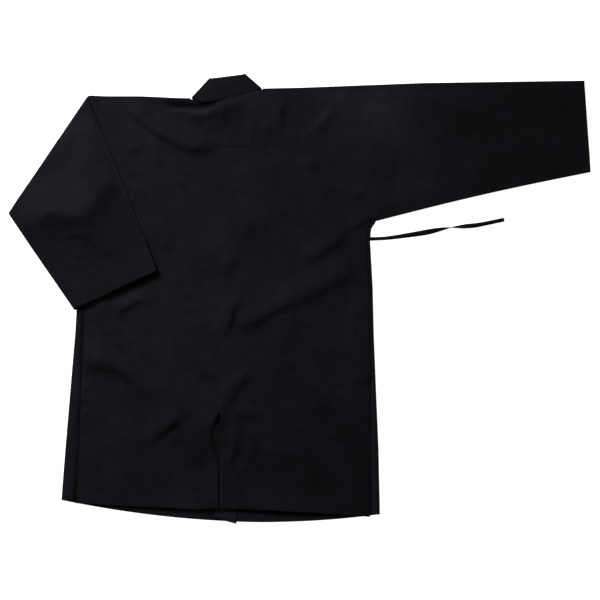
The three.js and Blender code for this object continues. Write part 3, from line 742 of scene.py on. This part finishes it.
def backGrids(side):
    sign = outward[side]
    neck, top, armpit = (pair(name, side) for name in ("neck", "armholeTop", "armpit"))
    half = backPiece["ditchHalf"]

    def outerX(y):
        low = sideX(side + "Seam", y) - sign * (gi["seamGap"] / 2 + slitHalf(y))
        return np.where(y >= armpit[1], armholeX(side, y) - sign * gi["seamGap"] / 2, low)

    def innerX(y):
        seam, down, bow = centreSeamX(np.maximum(y, centre["ventTop"])), downVent(y), ventBow(y)
        inBow = smooth(down * centre["gapFrom"]) * smooth((centre["gapTo"] - down) * centre["gapEase"])
        gap = lerp(centre["closedGap"], centre["bowGap"], inBow)
        if side == "right":
            wide, at, reach = centre["hole"]
            bow = facingShare(y) * bow - wide * groove(down - at, reach)
        return np.where(y > centre["ventTop"], seam + sign * gi["seamGap"] / 2, seam + sign * gap / 2 - bow)

    topOuter = float(shoulderY(top[0], side)) - edgeInset
    topInner = float(neckSeamY(centre["topX"])) + gi["underCollar"]
    heights = topOuter, float(backHem(sideX(side + "Seam", hem["y"]))), topInner, float(backHem(centre["lowX"]))
    neckShare = (neck[0] - top[0]) / (centre["topX"] - top[0])
    us = spread(float(abs(innerX(topInner) - outerX(topOuter))), (0, 1), 12)
    us = np.sort(np.append(us[np.abs(us - neckShare) > 0.002], neckShare))
    onShoulder = us <= neckShare + 1e-6
    fineRows = (0, *backPiece["yokeRows"], 1 - backPiece["hemWide"] / backPiece["long"], 1)
    vs = spread(backPiece["long"], fineRows, 10)

    def topY(x):
        neckLine = neckSeamY(x) + gi["underCollar"] * smooth((x - neck[0]) * -sign / backPiece["neckEase"])
        return np.where(onShoulder, shoulderY(x, side) - edgeInset, neckLine)

    x, y = np.moveaxis(panelPlaces(side, heights, outerX, innerX, topY, backHem, us, vs), -1, 0)
    seam, middle, low = np.abs(x - outerX(y)), np.abs(x - innerX(y)), y - backHem(x)
    belowArmpit = y < armpit[1]
    sideEase, topStart, topEase = backPiece["swellsFrom"]
    fromSide = np.where(belowArmpit, seam, sideEase)
    fromTop = np.where(onShoulder[None, :], shoulderY(x, side) - y, 3 * (neckSeamY(x) + 1 - y))
    clear = clearOfSleeve(x, y)
    lift = smooth(fromSide / sideEase) * smooth((fromTop - topStart) / topEase) * clear
    sideEase, topEase = backPiece["creasesFrom"]
    hold = smooth(fromSide / sideEase) * smooth(fromTop / topEase) * clear
    ditch = np.where(belowArmpit, backPiece["sideDitch"], backPiece["armholeDitch"])
    lowFrom, lowEase = backPiece["lowSide"]
    ditchHalf = half["side"] + backPiece["lowSideWider"][side] * smooth((lowFrom - y) / lowEase)
    z = backHeight(x, y) - ditch * groove(seam, ditchHalf)
    if side == "left":
        z += besideSleeve(x, y)
    z -= np.where(y > centre["ventTop"], backPiece["centreDitch"], 0) * groove(middle, half["centre"]) * clear
    yokeY, slope, fromX = backPiece["yoke"]
    z -= lookUp(x, backPiece["yokePull"]) * groove(y - yokeY - slope * (x - fromX), half["yoke"]) * clear
    z += hemBand(low, backPiece["hemWide"], backPiece["hemRise"]) + hemLift(x, low)
    inVent = smooth((centre["ventTop"] - y) / backPiece["ventEase"])
    z += inVent * hemBand(middle, backPiece["ventWide"], backPiece["ventRise"]) + ventTent(side, middle, y)
    if side == "right":
        facing = backPiece["facing"]
        fromFold = centre["lowX"] + centre["closedGap"] / 2 + facing["past"] - x
        sunk = facing["sunk"] * smooth(fromFold / 2 + 0.5) + facing["groove"] * groove(fromFold, facing["half"])
        z -= facingShare(y) * sunk
    hollows = sum(creaseHeight(x, y, hollow) for hollow in backPiece["hollows"])
    z -= hollows * smooth(fromTop / backPiece["hollowsFrom"])
    sideShade = np.where(y < armpit[1] - backPiece["sideShadeBelow"], backPiece["sideShade"], 0)
    shade = 1 - sideShade * groove(seam, 0.8 * ditchHalf)
    for line in backPiece["deep"]:
        shade = shade * (1 - np.clip(creaseHeight(x, y, line), 0, backPiece["darkest"]))
    grid = stacked(x, y, z, lift, hold, shade)
    shown = grid[0, onShoulder]
    out, heights, _ = roll(gi["bottom"], shown[:, 2])
    rounded = stacked(shown[:, 0], shown[:, 1] + out.T, heights.T, 0, 0, 1)
    rounded[-1] = shown
    tuck = gi["shoulderSeamBelow"] - edgeInset - gi["seamGap"]
    under = rounded[:1].copy()
    lean = armholeX(side, topOuter - tuck) - armholeX(side, topOuter)
    under[0, :, 0] += lean * (1 - us[onShoulder] / neckShare)
    under[0, :, 1] -= tuck
    return [grid, np.concatenate([under, rounded])]


# Where the collar turns back at the two ends of the neck.
def collarFold(side):
    seam, free = pair("neck", side), pair("collarTop", side)
    long = math.dist(seam, free)
    out = np.array([outward[side] * (free[1] - seam[1]), abs(free[0] - seam[0])]) / long
    inset = out * ((gi["collarBehind"] - gi["collarBelow"]) / 2 + gi["collarWall"] / 2)
    return {"out": out, "seam": lerp(seam, free, 0.04) - inset, "free": free - inset}


collarFolds = {side: collarFold(side) for side in outward}


def collarX(side, edge, y):
    return lineX(collarFolds[side][edge], pair("collar" + edge.capitalize() + "End", side), y)


# A front, from its seam under the shoulder to its hem, and round the side to its seam on the back.
frontPiece = {
    "long": 830, "wide": 300, "step": 7.5,
    "puff": 0.5, "swell": 0.45, "seed": 2.1,
    "liftFrom": {"side": 40, "top": 30, "hem": 60, "collar": 40, "turn": 40},
    "closes": {"rise": 2.4, "from": 75, "ease": 60},  # the right front comes up over the left collar
    "hemWide": 20, "hemRise": 0.2,
    "hemShadow": [  # how far below the back's hem its shadow ends
        (-460, -2), (-440, 0), (-420, 2), (-400, 3), (-280, 4), (-200, 3.5), (-140, 5), (-110, 8), (0, 8),
        (60, 6), (110, 2), (140, -2),
    ],
    "underShade": 0.93,
    "stripCrown": 1.6, "stripDitch": 1.6, "stripShade": 0.5,
    "creases": [  # low ones, because the fronts lie between the table and the back
        (1.5, 17, 10, 84, 132, 20, 78, -56, 44), (1.2, 12, 9, 70, 92, 24, 56, -20, 34),
        (1.4, 12, 15, 118, -62, 54, -92, -22, -104), (1.3, 10, 13, -24, -176, 6, -246, 18, -336),
        (1.3, 15, 9, 96, 272, 44, 204, 10, 128), (1.1, 9, 9, -62, 312, -44, 224),
        (1.2, 8, 12, 92, -214, 74, -300), (1.5, 16, 10, -404, 128, -342, 72, -268, 50),
        (1.4, 12, 13, -424, -58, -362, -100, -286, -112), (1.3, 10, 13, -248, -172, -272, -242, -262, -332),
        (1.3, 12, 9, -384, 270, -332, 210, -300, 132), (1.2, 9, 11, -214, -16, -244, -104),
        (1.2, 11, 8, -392, -206, -352, -286),
    ],
    "toneAndPaintedLight": 1.15,
}


def frontRise(x, y):
    closes = frontPiece["closes"]
    return closes["rise"] * smooth((closes["from"] - (x - collarX("left", "free", y))) / closes["ease"])


def frontGrids(side):
    sign = outward[side]
    neck, top, armpit = (pair(name, side) for name in ("neck", "armholeTop", "armpit"))

    def outerX(y):
        armhole = armholeX(side, y) - sign * gi["seamGap"] / 2
        return np.where(y >= armpit[1], armhole, sideX(side, y) - sign * edgeInset)

    def innerX(y):
        return collarX(side, "seam", y) + sign * gi["seamGap"]

    def topY(x):
        return shoulderY(x, side) - gi["shoulderSeamBelow"]

    lowOuter, lowInner = (float(frontHem(at)) for at in (sideX(side, hem["y"]), pair("collarSeamEnd", side)[0]))
    heights = float(topY(top[0])), lowOuter, float(topY(neck[0])), lowInner
    us = spread(frontPiece["wide"], (0, 1), 8, frontPiece["step"], 4)
    fineRows = (gi["armpitShare"], 1 - frontPiece["hemWide"] / frontPiece["long"], 1)
    vs = spread(frontPiece["long"], fineRows, 10)
    x, y = np.moveaxis(panelPlaces(side, heights, outerX, innerX, topY, frontHem, us, vs), -1, 0)
    low, ease = y - frontHem(x), frontPiece["liftFrom"]
    lift = smooth(np.abs(x - outerX(y)) / ease["side"]) * smooth((topY(x) - y) / ease["top"])
    lift *= smooth(low / ease["hem"])
    lift *= smooth(np.abs(x - collarX(side, "seam", y)) / ease["collar"])
    z = gi["bottom"] + hemBand(low, frontPiece["hemWide"], frontPiece["hemRise"])
    if side == "left":
        lift *= smooth((-pastTurn(x, y) - turn["axis"] - 10) / ease["turn"])
    else:
        z += frontRise(x, y)
    underBack = smooth((y - backHem(x) + lookUp(x, frontPiece["hemShadow"])) / 1.6 + 0.5) * (low < 80)
    grid = stacked(x, y, z, lift, lift, 1 - frontPiece["underShade"] * underBack)
    edgeX, edgeY, edgeZ = (grid[vs > gi["armpitShare"] + 1e-6, :1, axis] for axis in range(3))
    out, heights, _ = roll(edgeZ[:, 0], gi["top"])
    rounded = stacked(edgeX + sign * out, edgeY, heights, 0, 0, 1)
    seam = sideX(side + "Seam", edgeY) + sign * (gi["seamGap"] / 2 + slitHalf(edgeY))
    t = evenly(9)
    stripX = lerp(edgeX, seam, t)
    ditch = groove(np.abs(stripX - seam), 3)
    crown = frontPiece["stripCrown"] * np.sin(math.pi * t) - frontPiece["stripDitch"] * ditch
    crown *= lerp(0.5, 1, clearOfSleeve(stripX, edgeY))  # the sleeve presses it down
    shade = 1 - frontPiece["stripShade"] * ditch
    return [grid, rounded, stacked(stripX, edgeY, gi["top"] + crown * smooth(t * 4), 0, 0, shade)]


# A sleeve: a tube that lies flat, folded along its top and sewn along the underarm.
sleevePiece = {
    "long": 320,
    "puff": backPiece["puff"],  # its cloth goes on from that of the back, over the armhole's seam
    "swell": backPiece["swell"],
    "seed": backPiece["seed"],
    "underarmCurve": {"left": -2, "right": 4},
    "cuffWide": 18, "cuffRise": 0.08,
    "underLift": 0.4,  # share of the swells and creases that the layer on the table has
    "mouthRise": (8, 4), "mouthRun": 58,  # how far the mouth opens, at the top and at the underarm
    "mouthPinch": (0.85, 0.7, 0.1),  # it is nearly shut here: how much, at which share, its reach
    "mouthDrop": 2.3,  # how far the lower layer of the turned sleeve's mouth sinks towards the back
    "mouthShade": 0.93, "shadeRun": 26, "drawnRun": 60,
    "swellsFrom": (4, 30), "creasesFrom": (2, 9),  # how far from its folds they start, and how soon they are whole
    # foldGlow is a painted highlight on the upper face of the turned sleeve's fold.
    "foldGlow": 0.4,  # the turned sleeve's fold catches the light
    "pulledBack": [(0, 2.4), (0.4, 1), (0.7, -0.6), (0.88, 0.4), (1, 0)],  # the cuff, by the share of its depth
    "lowerBack": [  # the same for the layer below
        (0, -3), (0.12, -7), (0.3, -9), (0.45, -6), (0.58, -1), (0.7, 1), (0.8, -5), (0.92, -7), (1, -3),
    ],
    "creases": [
        (2.5, 34, 22, 290, 391, 400, 367), (1.8, 34, 24, 330, 270, 470, 300), (1.4, 6, 9, 262, 330, 300, 322),
        (1.2, 8, 6, 236, 250, 286, 262),
        *((0.9, 4, 5, 548, y, 574, y - 3) for y in (402, 377, 349, 330, 301, 282)),
    ],
    # Painted light and shade on the right sleeve: lighter by the armhole, darker at its top.
    "paintedPatches": [
        (390, 372, 130, 60, -0.12), (214, 392, 52, 90, 0.45), (200, 230, 70, 80, 0.35),
        (300, 230, 200, 50, 0.12), (560, 300, 60, 80, 0.05),
    ],
    # The whole right sleeve is painted darker, as it lies further from the light.
    "toneAndPaintedLight": 0.74,
}
# The sleeve that is turned over the back shows the layer that was below.
turnedPiece = {
    "puff": 1.2, "swell": 0.7, "seed": 4.2,
    "creases": [
        (8, 54, 22, -580, 140, -540, 148, -508, 167, -484, 173, -462, 168, -438, 165, -420, 175,
         -406, 203, -388, 224, -350, 240),
        (2.6, 16, 9, -520, 152, -492, 170, -466, 176), (3.5, 12, 6, -472, 117, -444, 127, -412, 113),
        (2, 9, 5, -456, 81, -426, 89), (1.4, 8, 6, -520, 125, -484, 131), (1.6, 8, 7, -408, 87, -364, 101),
        (1.4, 7, 6, -432, 45, -396, 57), (2, 20, 16, -416, 337, -432, 277, -428, 227),
    ],
    # Painted light and shade on the turned sleeve: lighter near its top, darker lower down.
    "paintedPatches": [
        (-470, 270, 110, 110, 0.24), (-430, 90, 120, 85, -0.16), (-382, 198, 30, 30, -0.1),
        (-380, 300, 24, 60, -0.08),
    ],
    # A painted shade below the big ridge and a painted highlight above it.
    "paintedCreaseLights": [
        (-0.2, 5, 100, -590, 136, -540, 143, -508, 162, -484, 168, -462, 163, -438, 160, -418, 171,
         -402, 200, -386, 220, -346, 240),
        (0.16, 36, 6, -560, 152, -524, 160, -486, 178, -444, 175, -424, 190),
    ],
    "toneAndPaintedLight": 1.03,
}


def sleeveGrids(side):
    sign, isTurned = outward[side], side == "left"
    below, above = (1, 0) if isTurned else (0, 1)
    top, cuffTop, armpit, cuffBottom = (pair(name, side) for name in sleeveCorners)
    cuffAt = 1 - sleevePiece["cuffWide"] / sleevePiece["long"]
    runs = spread(sleevePiece["long"], (0, cuffAt, 1), 9)
    u = runs[:, None]
    upper, lower = lerp(top, cuffTop, u), lerp(armpit, cuffBottom, u)
    lower[:, 1] += sleevePiece["underarmCurve"][side] * np.sin(math.pi * runs)
    long = np.hypot(*(lower - upper).T)[:, None]
    inset = edgeInset / long
    armholeAway = abs(cuffTop[0] - top[0])
    fromCuff = (1 - u) * armholeAway
    opened = smooth(1 - fromCuff / sleevePiece["mouthRun"])
    pinch, pinchAt, pinchReach = sleevePiece["mouthPinch"]
    fine, coarse = evenly(62), evenly(40)
    out, heights, share = roll(gi["top"], gi["bottom"])
    arcs = [  # round the tube: share of its depth, height, share of the folds, and 1 for the layer that was below
        (lerp(inset, 1 - inset, coarse if below else fine), gi["top"], above, 0),
        (1 - inset + out / long, heights[None, :], 0, share[None, :]),
        (lerp(1 - inset, inset, fine if below else coarse), gi["bottom"], below or sleevePiece["underLift"], 1),
        (inset - out / long, heights[None, ::-1], 0, 1 - share[None, :]),
    ]
    grids = []
    for shares, z, lift, raised in arcs:
        away = np.minimum(shares, 1 - shares) * long
        rise = lerp(*sleevePiece["mouthRise"], shares) * (1 - pinch * groove(shares - pinchAt, pinchReach))
        gape = opened * below * (raised * rise - (1 - raised) * sleevePiece["mouthDrop"])
        up = (1 if lift == above else -1) * (lift > 0)
        band = up * hemBand(fromCuff, sleevePiece["cuffWide"], sleevePiece["cuffRise"]) * smooth((away - 2) / 4)
        band = band - backPiece["armholeDitch"] * groove(fromCuff - armholeAway, 3) * (lift > 0)
        x = lerp(upper[:, :1], lower[:, :1], shares) + sign * gi["seamGap"] / 2
        y = lerp(upper[:, 1:], lower[:, 1:], shares)
        drawn = lerp(lookUp(shares, sleevePiece["lowerBack"]), lookUp(shares, sleevePiece["pulledBack"]), raised)
        x -= sign * below * smooth(1 - fromCuff / sleevePiece["drawnRun"]) * drawn
        inMouth = below * (1 - raised) * smooth((sleevePiece["shadeRun"] - fromCuff) / 6)
        # rim paints the highlight on the fold.
        rim = 1 + sleevePiece["foldGlow"] * below * smooth(1.6 - shares * long / 2)
        z = z - gape + (-band if below else band)
        shade = rim * (1 - sleevePiece["mouthShade"] * inMouth)
        eases = sleevePiece["swellsFrom"], sleevePiece["creasesFrom"]
        folded = (lift * smooth((away - near) / far) for near, far in eases)
        grids.append(stacked(x, y, z, *folded, shade))
    return grids


# The collar: a doubled band from the left front's hem, round the neck and down the right front.
collarPiece = {
    "puff": 0.4, "swell": 0.35, "seed": 5.7,
    "wide": 42,  # across what shows behind the neck
    "creases": [
        (0.8, 6, 8, -196, 420, -150, 428, -96, 434), (0.6, 4, 5, -172, 408, -166, 440),
        (0.5, 4, 5, -120, 414, -122, 444),
    ],
    # Painted light: a little lighter behind the neck, and much lighter on its ends, where the back's hem shades
    # them.
    "paintedPatches": [(-150, 430, 60, 30, 0.1), (-150, -446, 60, 28, 1.3)],
    "stand": [(-219, 2.0), (-190, 3.0), (-175, 2.0), (-150, 0.2), (-75, 0)],  # how far the seam end stands up
    "sink": [(-219, 0), (-180, 0), (-160, 1.5), (-75, 1.7)],  # how far its very edge goes down into the seam
    "edgeStitch": (0.3, 6, 2),  # how deep, how far from the free edge, its half width
    "toneAndPaintedLight": 0.82,
}


def fromEnds(share, rate):
    return smooth(np.minimum(share, 1 - share) * rate)


def collarGrids():
    across = evenly(18)
    bands = {}
    for side in outward:
        v = evenly(96).T
        seam, free = (
            lerp(pair(name, side), collarFolds[side][edge], v)[:, None]
            for name, edge in (("collarSeamEnd", "seam"), ("collarFreeEnd", "free"))
        )
        x, y = np.moveaxis(lerp(seam, free, across[..., None]), -1, 0)
        rise = frontRise(x, y) if side == "right" else 0
        bands[side] = stacked(x, y, gi["collarBelow"] + rise, 0, 0, 1)
    v = evenly(46).T
    seam, free = (lerp(collarFolds["left"][edge], collarFolds["right"][edge], v) for edge in ("seam", "free"))
    seam[:, 1] = lerp(seam[:, 1], neckSeamY(seam[:, 0]) + gi["seamGap"], fromEnds(v[:, 0], 8))
    x, y = np.moveaxis(lerp(seam[:, None], free[:, None], across[..., None]), -1, 0)
    lift = fromEnds(v, 6) * fromEnds(across, 5)
    deep, fromFree, half = collarPiece["edgeStitch"]
    z = gi["collarBehind"] + lookUp(x, collarPiece["stand"]) * fromEnds(v, 9) * (1 - 0.6 * across)
    z -= deep * groove((1 - across) * collarPiece["wide"] - fromFree, half) * lift
    z -= lookUp(x, collarPiece["sink"]) * smooth(1 - across * 6) * fromEnds(v, 9)
    behind = stacked(x, y, z, lift, lift, 1)
    grids = [bands["left"], behind, bands["right"]]
    for side in outward:
        row, way = bands[side][-1], collarFolds[side]["out"]
        out, heights, _ = roll(row[:, 2], gi["collarBehind"])
        turnedBack = stacked(row[:, 0] + way[0] * out.T, row[:, 1] + way[1] * out.T, heights.T, 0, 0, 1)
        turnedBack[-1] = behind[0 if side == "left" else -1]
        grids.append(turnedBack)
    return grids


# The ties: tapes, each along a smooth line of x, y, z, half turns and the width that it is curled to.
tiePiece = {
    "wide": 11, "narrowest": 4,
    "right": [
        (131, 119, 1.9, 0, 7), (150, 119.4, 1.4, 0, 6), (176, 121, 0.9, 0, 6.4), (218, 126.8, 0.7, 0, 8.6),
        (250, 132, 1.8, 0.06, 10.5), (275, 137, 4.7, 0.26, 11), (300, 141.5, 6.4, 0.5, 11),
        (323, 143.5, 5, 0.72, 11), (345, 145.5, 2.2, 0.92, 9), (364, 148.5, 0.7, 1, 7.5),
        (408, 157.8, 0.7, 1, 7),
    ],
    "left": [(-140.3, 106, 0.7, 0, 11), (-144, 150, 0.7, 0, 11), (-145, 240, 0.7, 0, 11), (-140, 372, 0.7, 0, 11)],
    "puff": 0, "swell": 0, "seed": 0, "creases": [],
    "toneAndPaintedLight": 0.65,
}


def tieGrid(table):
    line = smoothLine(table, 12)
    along = np.gradient(line[:, :2], axis=0)
    along /= np.hypot(*along.T)[:, None]
    twist = math.pi * np.clip(line[:, 3:4], 0, 1)
    flat, upright = np.abs(np.cos(twist)), np.abs(np.sin(twist))
    z = np.maximum(line[:, 2:3], (tiePiece["wide"] * upright + gi["tieWall"] * flat) / 2 + 0.1)
    wide = np.clip(line[:, 4:], tiePiece["narrowest"], tiePiece["wide"])
    across = np.linspace(-0.5, 0.5, 9)[None, :]
    out = across * wide
    curl = wide * np.sqrt(0.375 * (tiePiece["wide"] / wide - 1)) * (1 - 4 * across ** 2)
    level = out * np.cos(twist)
    x, y = line[:, :1] - along[:, 1:] * level, line[:, 1:2] + along[:, :1] * level
    return [stacked(x, y, z + out * np.sin(twist) + curl * flat, 0, 0, 1)]


pieces = {}
for side in outward:
    over = side == "left"
    # The left front gets a painted pool of light near its armhole.
    front = {**frontPiece, "paintedPatches": [(-460, 300, 90, 90, 0.3)]} if over else frontPiece
    panels = {
        "back": (backGrids(side), backPiece),
        "front": (frontGrids(side), front),
        "sleeve": (sleeveGrids(side), turnedPiece if over else sleevePiece),
    }
    for panel, (grids, piece) in panels.items():
        name = panel + "_" + side
        pieces[name] = sewn(name + "_cloth", grids, piece, cottonBlack, isTurned=over)
    print("panels of the", side, "side sewn")
pieces["collar"] = sewn("collar_band", collarGrids(), collarPiece, collarBlack, gi["collarWall"], sharp=100)
for side in ("right", "left"):
    name = "tie_" + side
    pieces[name] = sewn(name + "_tape", tieGrid(tiePiece[side]), tiePiece, tapeBlack, gi["tieWall"])
print("collar and ties made")

for name, made in pieces.items():
    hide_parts(name)
    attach(made, "root")


# Lines of stitches, as places on the laid jacket.
seams = {
    "step": 8.0, "upStep": -6.0,
    "hemIn": 2, "hemFromVent": 4, "hemFromSide": 5,
    "yokeFromCentre": 3, "yokeFromArmhole": 8,
    "ventIn": 0.5, "ventFromTop": 4,
    "sideIn": 7, "sideFromTop": 30, "cuffIn": 1, "collarIn": 0.12,
    "ends": (0.03, 0.97),  # shares of a cuff or of the collar that its stitches run between
}


def hemStitches(side):
    ends = centre["lowX"] + outward[side] * seams["hemFromVent"], sideX(side + "Seam", hem["y"])
    xs = np.arange(*sorted((ends[0], ends[1] - outward[side] * seams["hemFromSide"])), seams["step"])
    return stacked(xs, backHem(xs) + backPiece["hemWide"] - seams["hemIn"])


def yokeStitches(side):
    yokeY, slope, fromX = backPiece["yoke"]
    inner = centreSeamX(yokeY) + outward[side] * seams["yokeFromCentre"]
    outer = armholeX(side, yokeY) - outward[side] * seams["yokeFromArmhole"]
    xs = np.arange(*sorted((inner, outer)), seams["step"])
    return stacked(xs, yokeY + slope * (xs - fromX))


def ventStitches(side):
    low = backHem(centre["lowX"]) + backPiece["hemWide"]
    ys = np.arange(centre["ventTop"] - seams["ventFromTop"], low, seams["upStep"])
    fromEdge = outward[side] * (backPiece["ventWide"] + seams["ventIn"])
    return stacked(centre["lowX"] + fromEdge - (ventBow(ys) if side == "left" else 0), ys)


def sideStitches(side):
    ys = np.arange(gi["slitTop"] + seams["sideFromTop"], hem["y"] + 4, seams["upStep"])
    return stacked(sideX(side + "Seam", ys) - outward[side] * seams["sideIn"], ys)


def cuffStitches(side):
    corners = (np.array(mirrored(name) if side == "left" else pair(name, side)) for name in sleeveCorners)
    top, cuffTop, armpit, cuffBottom = corners
    long = math.dist(top, cuffTop)
    inset = (sleevePiece["cuffWide"] + seams["cuffIn"]) / long
    shares = np.linspace(*seams["ends"], 24)[:, None]
    line = lerp(lerp(cuffTop, top, inset), lerp(cuffBottom, armpit, inset), shares)
    if side == "left":
        line = line + (top - cuffTop) / long * lookUp(shares, sleevePiece["pulledBack"])
    return line


def collarStitches():
    left, right = (lerp(fold["free"], fold["seam"], seams["collarIn"]) for fold in collarFolds.values())
    return lerp(left, right, np.linspace(*seams["ends"], 12)[:, None])


for side in outward:
    lines = [hemStitches(side), yokeStitches(side), ventStitches(side), sideStitches(side)]
    for name, found in (("back_" + side, lines), ("sleeve_" + side, [cuffStitches(side)])):
        stitched(name + "_stitches", found, pieces[name])
stitched("collar_stitches", [collarStitches()], pieces["collar"])
# The table, the light from the top left and the camera straight above.
room = {
    "floorHalf": 20, "floorTone": 0.5, "floorGlow": 0.95, "ambient": 0.32,
    "keyAt": (-1.5, 1.7, 1.7), "keySize": 1.0, "keyWatts": 115, "cameraAt": (0, -0.003, 3.0), "lens": 90,
}
floorMesh = bpy.data.meshes.new("table")
floorCorners = [(room["floorHalf"] * x, room["floorHalf"] * y, 0) for x, y in ((-1, -1), (1, -1), (1, 1), (-1, 1))]
floorMesh.from_pydata(floorCorners, [], [(0, 1, 2, 3)])
table = inScene("table", floorMesh)
paper = bpy.data.materials.new("paleTable")
paper.use_nodes = True
setInputs(paper.node_tree.nodes["Principled BSDF"], {
    "Base Color": (*(room["floorTone"],) * 3, 1), "Roughness": 0.8, "Specular IOR Level": 0.2,
    "Emission Color": (1, 1, 1, 1), "Emission Strength": room["floorGlow"],
})
floorMesh.materials.append(paper)

world = bpy.data.worlds.new("studio")
bpy.context.scene.world = world
world.use_nodes = True
setInputs(world.node_tree.nodes["Background"], {"Color": (1, 1, 1, 1), "Strength": room["ambient"]})

keyLight = bpy.data.lights.new("windowLight", "AREA")
keyLight.shape, keyLight.size, keyLight.energy = "DISK", room["keySize"], room["keyWatts"]
key = inScene("windowLight", keyLight)
key.location = room["keyAt"]
key.rotation_euler = (-Vector(room["keyAt"])).to_track_quat("-Z", "Y").to_euler()

lens = bpy.data.cameras.new("overhead")
lens.lens, lens.sensor_width, lens.clip_end = room["lens"], 36, 100
camera = inScene("overhead", lens)
camera.location = room["cameraAt"]
bpy.context.scene.camera = camera
bpy.context.scene.view_settings.view_transform = "Standard"
print("light and camera set")
